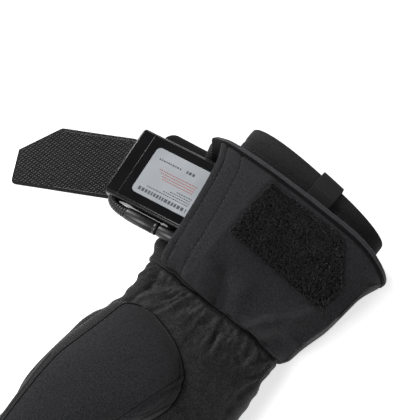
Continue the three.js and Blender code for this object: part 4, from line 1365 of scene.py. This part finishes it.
def slab(name, size, corner, ends, edges, groove=0.0):
    """A slab along the pack: its ends as places, and the shape of the edge at each end."""
    width, thickness = size
    profile = [(ends[0] + a, b) for a, b in edges[0]]
    profile += [(ends[1] - a, b) for a, b in reversed(edges[1])]
    rings = []
    for place, drawn in profile:
        x, z = rounded_section(width - 2 * drawn, thickness - 2 * drawn, corner, 16, groove).T
        rings.append(np.stack([x, place + 0 * x, z + thickness / 2], -1))
    return on_pack(name, *closed_loft(np.array(rings)))


PLUG_SIDE = -(PACK_WIDTH / 2 + CLEARANCE + PLUG_DIAMETER / 2)
PLUG_HEIGHT = PACK_THICKNESS * 0.42
PLUG_START = PACK_LENGTH / 2 - 18
PLUG_END = PLUG_START - PLUG_LENGTH
SOCKET_END = PLUG_END - CLEARANCE - SOCKET_LENGTH


def make_pack():
    half = PACK_LENGTH / 2
    body_end = half - CAP_LENGTH - CLEARANCE
    size = (PACK_WIDTH, PACK_THICKNESS)
    body = slab("pack_case", size, PACK_CORNER, (-half, body_end + 0.26), (ROUNDED_END, CUT_END), 0.4)
    finish_piece(body, "gloss", "gloss_black", "battery_case")
    start = half - CAP_LENGTH
    cap = slab("pack_cap", size, PACK_CORNER, (start, half), (CUT_END, ROUNDED_END), 0.4)
    finish_piece(cap, "gloss", "gloss_black", "battery_end_cap")
    make_label(body_end)


def flat_plate(middle, width, length, low, high, corner):
    """Points and faces of a thin plate with rounded corners and a slightly rounded upper edge."""
    rings = []
    for height, shrink in ((low, 0.0), (high - 0.08, 0.0), (high, 0.08), (high, 0.1 + 0.05 * corner)):
        x, y = rounded_section(width - 2 * shrink, length - 2 * shrink, corner, 6).T
        rings.append(np.stack([x + middle[0], y + middle[1], height + 0 * x], -1))
    return closed_loft(np.array(rings))


def make_label(body_end):
    middle = (0.0, body_end - LABEL_LENGTH / 2 - 6)
    top = PACK_THICKNESS + 0.12
    plate = flat_plate(middle, LABEL_WIDTH, LABEL_LENGTH, PACK_THICKNESS - 0.3, top, 3)
    finish_piece(on_pack("pack_label", *plate), "label", "label_grey", "battery_label")
    make_print(middle[1] + LABEL_LENGTH / 2, top)


def make_print(outer, top):
    """Rows of plain bars on the label, of random lengths."""
    random = np.random.default_rng(5)
    # Place across, start and end as distances from the label's outer edge, height, colour
    rows = [(-12.8, 3.5, 38, 2.5, "grey"), (9.6, 5.0, 21, 1.1, "grey"), (9.8, 25, 31, 2.0, "grey")]
    rows += [(x, start, 37, 0.75, "red") for x, start in ((3.6, 9), (1.9, 11), (0.2, 13), (-1.5, 14))]
    rows += [(x, start, 38, 0.7, "grey") for x, start in ((-9.6, 8), (-8.0, 19), (-6.4, 23), (-4.8, 27))]
    groups = {"grey": [], "red": []}
    for x, start, end, thick, colour in rows:
        y = start
        while y < end:
            dash = random.uniform(0.5, 1.4) + 0.3 * thick
            groups[colour].append(((x, outer - y - dash / 2), thick, min(dash, end - y)))
            y += dash + 0.3 + 0.1 * thick
    for colour, dashes in groups.items():
        parts = []
        for centre, thick, dash in dashes:
            if dash > 0.6:
                parts.append(flat_plate(centre, thick, dash, top - 0.05, top + 0.03, 0.12))
        bars = [(placed(points, PACK_ORIGIN, PACK_TURN), faces) for points, faces in parts]
        finish_piece(join_points(f"label_bars_{colour}", bars), f"print_{colour}", "label_grey")


def turned_piece(name, profile, sides=40):
    """A round piece along the pack from rows of place and radius, beside the pack's finger edge."""
    turn = around(sides)
    rings = []
    for place, radius in profile:
        x = PLUG_SIDE + radius * np.cos(turn)
        z = PLUG_HEIGHT + radius * np.sin(turn)
        rings.append(np.stack([x, np.full(sides, place), z], -1))
    return on_pack(name, *closed_loft(np.array(rings)))


def make_plug():
    r = PLUG_DIAMETER / 2
    # Distance from an end and share of the radius
    near_socket = [(0, 0.7), (0.15, 0.82), (0.7, 0.97), (1.2, 1)]
    near_socket += [(2.2, 1), (2.4, 0.95), (2.8, 0.95), (3.0, 1)]
    near_elbow = [(7, 1), (2, 0.95), (0.4, 0.9), (0, 0.78)]
    profile = [(PLUG_END + step, r * share) for step, share in near_socket]
    profile += [(PLUG_START - step, r * share) for step, share in near_elbow]
    finish_piece(turned_piece("plug_barrel", profile), "plug", "plug_black", "lead_plug")
    make_socket(PLUG_DIAMETER / 2 - 0.3, PLUG_END - CLEARANCE)
    make_elbow()


def make_socket(r, top):
    profile = [(SOCKET_END, LEAD_DIAMETER * 0.55)]
    for k in range(4):
        at = SOCKET_END + 0.8 + k * 1.4
        wide = LEAD_DIAMETER * 0.6 + k * (r - LEAD_DIAMETER * 0.6) / 4
        profile += [(at, wide), (at + 0.8, wide + 0.15), (at + 0.9, wide - 0.3), (at + 1.3, wide - 0.3)]
    profile.append((SOCKET_END + 7, r))
    profile += [(top - step, r * share) for step, share in [(1, 1), (0.4, 0.96), (0.1, 0.85), (0, 0.7)]]
    finish_piece(turned_piece("socket_barrel", profile), "plug", "plug_black", "lead_socket")


def make_elbow():
    """Ribbed strain relief that bends from the cap's side back to the plug."""
    half = PACK_LENGTH / 2
    knots = np.array(
        [
            (-PACK_WIDTH / 2 + 1.2, half - CAP_LENGTH * 0.45, PLUG_HEIGHT),
            (-PACK_WIDTH / 2 - 2.6, half - CAP_LENGTH * 0.55, PLUG_HEIGHT),
            (PLUG_SIDE, half - CAP_LENGTH - 1.5, PLUG_HEIGHT),
            (PLUG_SIDE, PLUG_START + CLEARANCE, PLUG_HEIGHT),
        ]
    )
    t = np.linspace(0, 1, 90)[:, None]
    weights = ((1 - t) ** 3, 3 * (1 - t) ** 2 * t, 3 * (1 - t) * t**2, t**3)
    path = sum(weight * knot for weight, knot in zip(weights, knots))
    far = distance_along(path)
    radius = PLUG_DIAMETER * (0.33 + 0.1 * far / far[-1])
    radius = radius - 0.45 * (np.cos(far * 2 * np.pi / 1.8) > 0.3)
    ahead = np.gradient(path, axis=0)
    ahead /= np.linalg.norm(ahead, axis=-1, keepdims=True)
    up = np.array([0, 0, 1.0])
    beside = np.cross(ahead, up)
    turn = around(28)
    rings = path[:, None] + radius[:, None, None] * (
        beside[:, None] * np.cos(turn)[None, :, None] + up * np.sin(turn)[None, :, None]
    )
    piece = on_pack("plug_elbow", *closed_loft(rings))
    finish_piece(piece, "plug", "plug_black", "plug_strain_relief")


# Hand: palm, back and fingers
SEAM_BASE = FINGER_HEIGHT * 0.56


def finger_parts():
    edge = HAND_HALF * 0.99
    parts = []
    turn = around(56)
    for k in range(len(FINGERS["width"])):
        width = FINGERS["width"][k] * FINGER_WIDTH
        centre = edge - width / 2
        edge -= width + FINGER_GAP
        length = FINGERS["length"][k] * FINGER_LENGTH
        root = HAND_START + FINGERS["root"][k] * HAND_LENGTH
        share = np.concatenate([np.linspace(-0.28, 0.9, 44), np.linspace(0.905, 0.985, 10)])
        reach = np.maximum(0, share)
        along = root + share * length
        side = centre + math.tan(math.radians(FINGERS["spread"][k])) * reach * length
        middle = SEAM_BASE + FINGER_CURL * reach**2
        half_width = width * curve(FINGER_ROWS, "width", share) / 2
        half_height = FINGER_HEIGHT * curve(FINGER_ROWS, "height", share) / 2
        tip = np.clip((share - 0.93) / 0.055, 0, 1)
        close = np.sqrt(np.maximum(0, 1 - tip**2 * 0.92))
        c, s = (signed_power(value, 2 / SQUARENESS) for value in (np.cos(turn), np.sin(turn)))
        y = side[:, None] - (half_width * close)[:, None] * c[None]
        z = np.maximum(middle[:, None] + (half_height * close)[:, None] * s[None], 0.02)
        x = (along + 1.5 * tip)[:, None] + 0 * y
        parts.append(closed_loft(np.stack([x, y, z], -1)))
    return parts


PALM_CREASES = [
    ((107, 39), (97, 34), (90, 14), 1.5, 2.0, 2.6),
    ((101, 41), (92, 35), (87, 24), -1.4, 1.8, 1.8),
    ((96, 28), (92, 22), (90, 6), -1.0, 1.6, 1.8),
    ((134, -43), (114, -38), (92, -48), 1.1, 5.0, 1.6),
    ((132, -46), (112, -42), (90, -51), -1.4, 1.8, 2.4),
    ((104, -35), (97, -38), (89, -44), 1.3, 2.0, 1.6),
    ((92, 20), (100, 10), (112, 0), 0.8, 5.0, 5.0),
]


def seam_height(glove):
    """Height of the side seam over the floor, in millimetres, at points of the glove."""
    along, side = glove[:, 0], glove[:, 1]
    reach = np.clip((along - HAND_START - HAND_LENGTH) / FINGER_LENGTH, 0, 1.3)
    base = SEAM_BASE + FINGER_CURL * reach**2
    palm_share = np.clip((HAND_START + HAND_LENGTH * 0.97 - along) / (HAND_LENGTH * 0.25), 0, 1)
    thumb_share = np.clip((side / HAND_HALF - 0.2) / 0.5, 0, 1)
    return base + HAND_HEIGHT * 0.4 * palm_share * thumb_share


def make_hand():
    along = np.linspace(HAND_START - 3, HAND_START + HAND_LENGTH * 1.04, 66)[:, None]
    body = closed_loft(hand_point(along, around(150)[None] + 0 * along))
    whole = join_points("hand_whole", [body, *finger_parts()])
    remesh = whole.modifiers.new("union", "REMESH")
    remesh.mode = "VOXEL"
    remesh.voxel_size = HAND_VOXEL * MM
    relax(bake(whole), 18)
    points = glove_points(mesh_points(whole))
    normals = mesh_points(whole, "normal") * np.array([-1, 1, 1])
    points = points + normals * hand_relief(points, normals)[:, None]
    points[:, 2] = np.maximum(points[:, 2], 0.05)
    set_mesh_points(whole, world(points))
    trim_wrist(whole)
    points = glove_points(mesh_points(whole))
    points[:, 0] += seam_wave(points[:, 1]) * bell(points[:, 0] - HAND_START, SEAM_FADE)
    set_mesh_points(whole, world(points))

    def seam(points):
        return seam_height(glove_points(points)) * MM

    palm = cut(copy_of(whole, "palm_suede"), seam, True)
    back = cut(copy_of(whole, "back_ribbed"), seam, False)
    bpy.data.objects.remove(whole)
    for piece, material, slot_name, node in (
        (palm, "palm", "palm_fabric", "palm_panel"),
        (back, "ribbed", "back_fabric", "back_panel"),
    ):
        thicken(piece, HAND_WALL * 0.8)
        finish_piece(piece, material, slot_name, node)
    return palm


def trim_wrist(obj):
    with mesh_work(obj) as work:
        bmesh.ops.bisect_plane(
            work,
            geom=work.verts[:] + work.edges[:] + work.faces[:],
            plane_co=((HEM_X - HAND_START) * MM, 0, 0),
            plane_no=(1, 0, 0),
            clear_outer=True,
        )


def thicken(obj, thickness):
    wall = obj.modifiers.new("wall", "SOLIDIFY")
    wall.thickness = thickness * MM
    wall.offset = -1
    bake(obj)
    obj.data.polygons.foreach_set("use_smooth", [True] * len(obj.data.polygons))


def hand_relief(points, normals):
    """Gathers under the wrist seam, puffs on the back's edge, soft wrinkles and the tucked seams."""
    along, side = points[:, 0] - HAND_START, points[:, 1]
    palm_side = np.clip(normals[:, 2] * 1.5 + 0.2, 0, 1)
    relief = (crumples(points, HAND_START, 2.0) + puckers(points, HAND_START, (-50, 50), 21)) * palm_side
    relief += creases(points, PALM_CREASES) * palm_side
    edge = np.clip(np.abs(side) / HAND_HALF - 0.55, 0, 0.3) / 0.3 * (1 - palm_side * 0.5)
    puff = bell(along - 14, 26) * edge
    waves = 1.2 * np.where(side > 0, 1.0, 0.4)
    relief += puff * waves * np.cos(2 * np.pi * (along + 2) / 12)
    broad = noise_at(points, 24, 5.0) * 0.55 + noise_at(points, 8, 6.5) * 0.18
    off_floor = np.clip(points[:, 2] / 6, 0, 1)
    relief += broad * off_floor
    relief += tuck(points[:, 2] - seam_height(points), 0.9, 1.7) * off_floor
    relief += (tuck(along, 1.6, 1.5) - tuck(along - 5, 1.0, 5.0)) * off_floor
    fold = noise_at(points * np.array([1.0, 0.35, 0.6]), 7, 12.0)
    fingers = np.clip((along - HAND_LENGTH * 0.98) / 10, 0, 1) * palm_side
    relief += fingers * 0.35 * fold
    return relief


# Thumb with the dome over its base, which starts at a share of the hand's length
THUMB_FROM = 0.225
# Turns, in degrees, between which the thumb's outer side is ribbed
THUMB_SIDE_FROM, THUMB_SIDE_TO = 138.0, 225.0
# Seams over the dome, as the photograph shows them at the height of the thumb's top
THUMB_SEAMS = [((130, -17), (160, -8), (236, 14)), ((146, -23), (158, -18), (190, -4))]


def thumb_relief(points, normals, share, turn):
    """Sewn seams along the thumb and over its dome, and a soft unevenness."""
    degrees = np.degrees(turn)
    seams = tuck((degrees - 27) * 0.5, 0.7, 0.9) + tuck((degrees - 152) * 0.5, 0.7, 0.9) * (share > 0.46)
    relief = seams * (share > 0.1) + 0.45 * noise_at(points, 26, 3.3) + 0.1 * noise_at(points, 8, 8.1)
    upwards = np.clip(normals[..., 2] * 2 + 0.6, 0, 1)
    for knots in THUMB_SEAMS:
        distance = np.abs(beside_curve(points, knots)[0])
        relief += (tuck(distance, 0.9, 0.8) - tuck(distance - 2.2, 0.3, 1.3)) * upwards
    return relief


def thumb_points(columns):
    """Grid of points over the thumb: rows along it, columns round it."""
    share = np.concatenate([[0, 0.004, 0.009], np.linspace(0.015, 0.9, 120), np.linspace(0.905, 1.0, 26)])
    share = share[:, None]
    turn = around(columns)[None]
    centre = curve(THUMB, "centre", share) * HAND_HALF
    half = curve(THUMB, "width", share) * THUMB_HALF
    top = HAND_HEIGHT + curve(THUMB, "top", share) * THUMB_RISE
    freed = np.clip((share - 0.38) / 0.2, 0, 1)
    underside = np.maximum(0, share - 0.9) * 30
    low = HAND_HEIGHT * 0.6
    bottom = low + freed * (HAND_HEIGHT + 1 + underside - low)
    tip = np.clip((share - 0.965) / 0.035, 0, 1)
    close = np.sqrt(np.maximum(0.02, 1 - tip**2))
    c, s = (signed_power(value, 2 / SQUARENESS) for value in (np.cos(turn), np.sin(turn)))
    y = centre - half * close * c
    z = (top + bottom) / 2 + (top - bottom) / 2 * close * s
    x = HAND_START + THUMB_FROM * HAND_LENGTH + share * THUMB_LENGTH + 0 * y
    points = np.stack([x, y, z], -1)
    normals = ring_normals(points)
    return points + normals * thumb_relief(points, normals, share, turn)[..., None]


def palm_top(metres):
    """Height in metres of the palm's surface, a little sunk, at points in metres."""
    glove = glove_points(metres)
    section = hand_section(np.clip((glove[:, 0] - HAND_START) / HAND_LENGTH, 0, 1.04))
    wide = np.where(glove[:, 1] > 0, section["thumb"], section["little"])
    share_out = np.clip(np.abs(glove[:, 1]) / wide, 0, 0.999) ** SQUARENESS
    middle = (section["top"] + section["bottom"]) / 2
    return (middle + (section["top"] - middle) * (1 - share_out) ** (1 / SQUARENESS) - 0.6) * MM


def make_thumb(palm):
    points = thumb_points(170)
    rows, columns = points.shape[:2]
    loft_points, faces = closed_loft(points)
    thumb = solid("thumb_shell", loft_points, faces)
    face_turn = np.degrees(around(columns)) + 180 / columns
    on_side = (face_turn > THUMB_SIDE_FROM) & (face_turn < THUMB_SIDE_TO)
    marks = np.zeros(len(faces), int)
    marks[: (rows - 1) * columns] = np.tile(on_side, rows - 1)
    thumb.data.materials.append(MATERIALS["softshell"])
    thumb.data.materials.append(MATERIALS["ribbed"])
    thumb.data.polygons.foreach_set("material_index", marks)
    cut(thumb, palm_top, True)
    strip = keep_marked(copy_of(thumb, "thumb_side"), 1)
    keep_marked(thumb, 0)
    finish_piece(seam_thread("thumb_seam", open_edges(thumb), 0.33, palm, 0.45), "seam", "trim")
    for number, knots in enumerate(THUMB_SEAMS, 1):
        flat = bent_line(knots, 130)
        path = np.concatenate([flat, np.full((len(flat), 1), HAND_HEIGHT + THUMB_RISE)], 1)
        finish_piece(tubes(f"thumb_line_{number}", [seen_on(path, thumb, 0.05)], 0.24), "seam", "trim")
    thicken(thumb, THUMB_WALL * 0.8)
    thicken(strip, THUMB_WALL * 0.8)
    finish_piece(thumb, "softshell", "softshell", "thumb")
    finish_piece(strip, "ribbed", "back_fabric", "thumb")


# Floor and light
def make_stage():
    size = 3.0
    corners = np.array([(-size, -size, 0), (size, -size, 0), (size, size, 0), (-size, size, 0)])
    floor = new_object("floor", corners - np.array([0, 0, 0.0002]), [(0, 1, 2, 3)])
    floor.data.materials.append(MATERIALS["floor"])
    middle = Vector(world(CAMERA_TARGET))
    # Name, place from the middle and width in metres, watts
    lamps = [
        ("key", (0.4, 1.2, 0.6), 0.45, 21.0),
        ("fill", (-0.2, -1.3, 1.0), 0.8, 5.5),
        ("top", (-1.1, 0.35, 1.1), 0.6, 20.0),
    ]
    for name, offset, width, power in lamps:
        light = bpy.data.lights.new(name, "AREA")
        light.energy = power
        light.size = width
        lamp = bpy.data.objects.new(name, light)
        lamp.location = middle + Vector(offset)
        lamp.rotation_mode = "QUATERNION"
        lamp.rotation_quaternion = (middle - lamp.location).to_track_quat("-Z", "Y")
        bpy.context.scene.collection.objects.link(lamp)
    sky = bpy.data.worlds.new("studio")
    sky.use_nodes = True
    backdrop = sky.node_tree.nodes["Background"]
    backdrop.inputs["Color"].default_value = (1, 1, 1, 1)
    backdrop.inputs["Strength"].default_value = 0.2
    bpy.context.scene.world = sky
    bpy.context.scene.view_settings.view_transform = "Standard"


make_camera()
make_pack()
make_plug()
make_tube()
make_panel()
make_binding()
make_cuff()
make_tab()
make_patch()
make_strap()
make_flap()
make_thumb(make_hand())
make_stage()
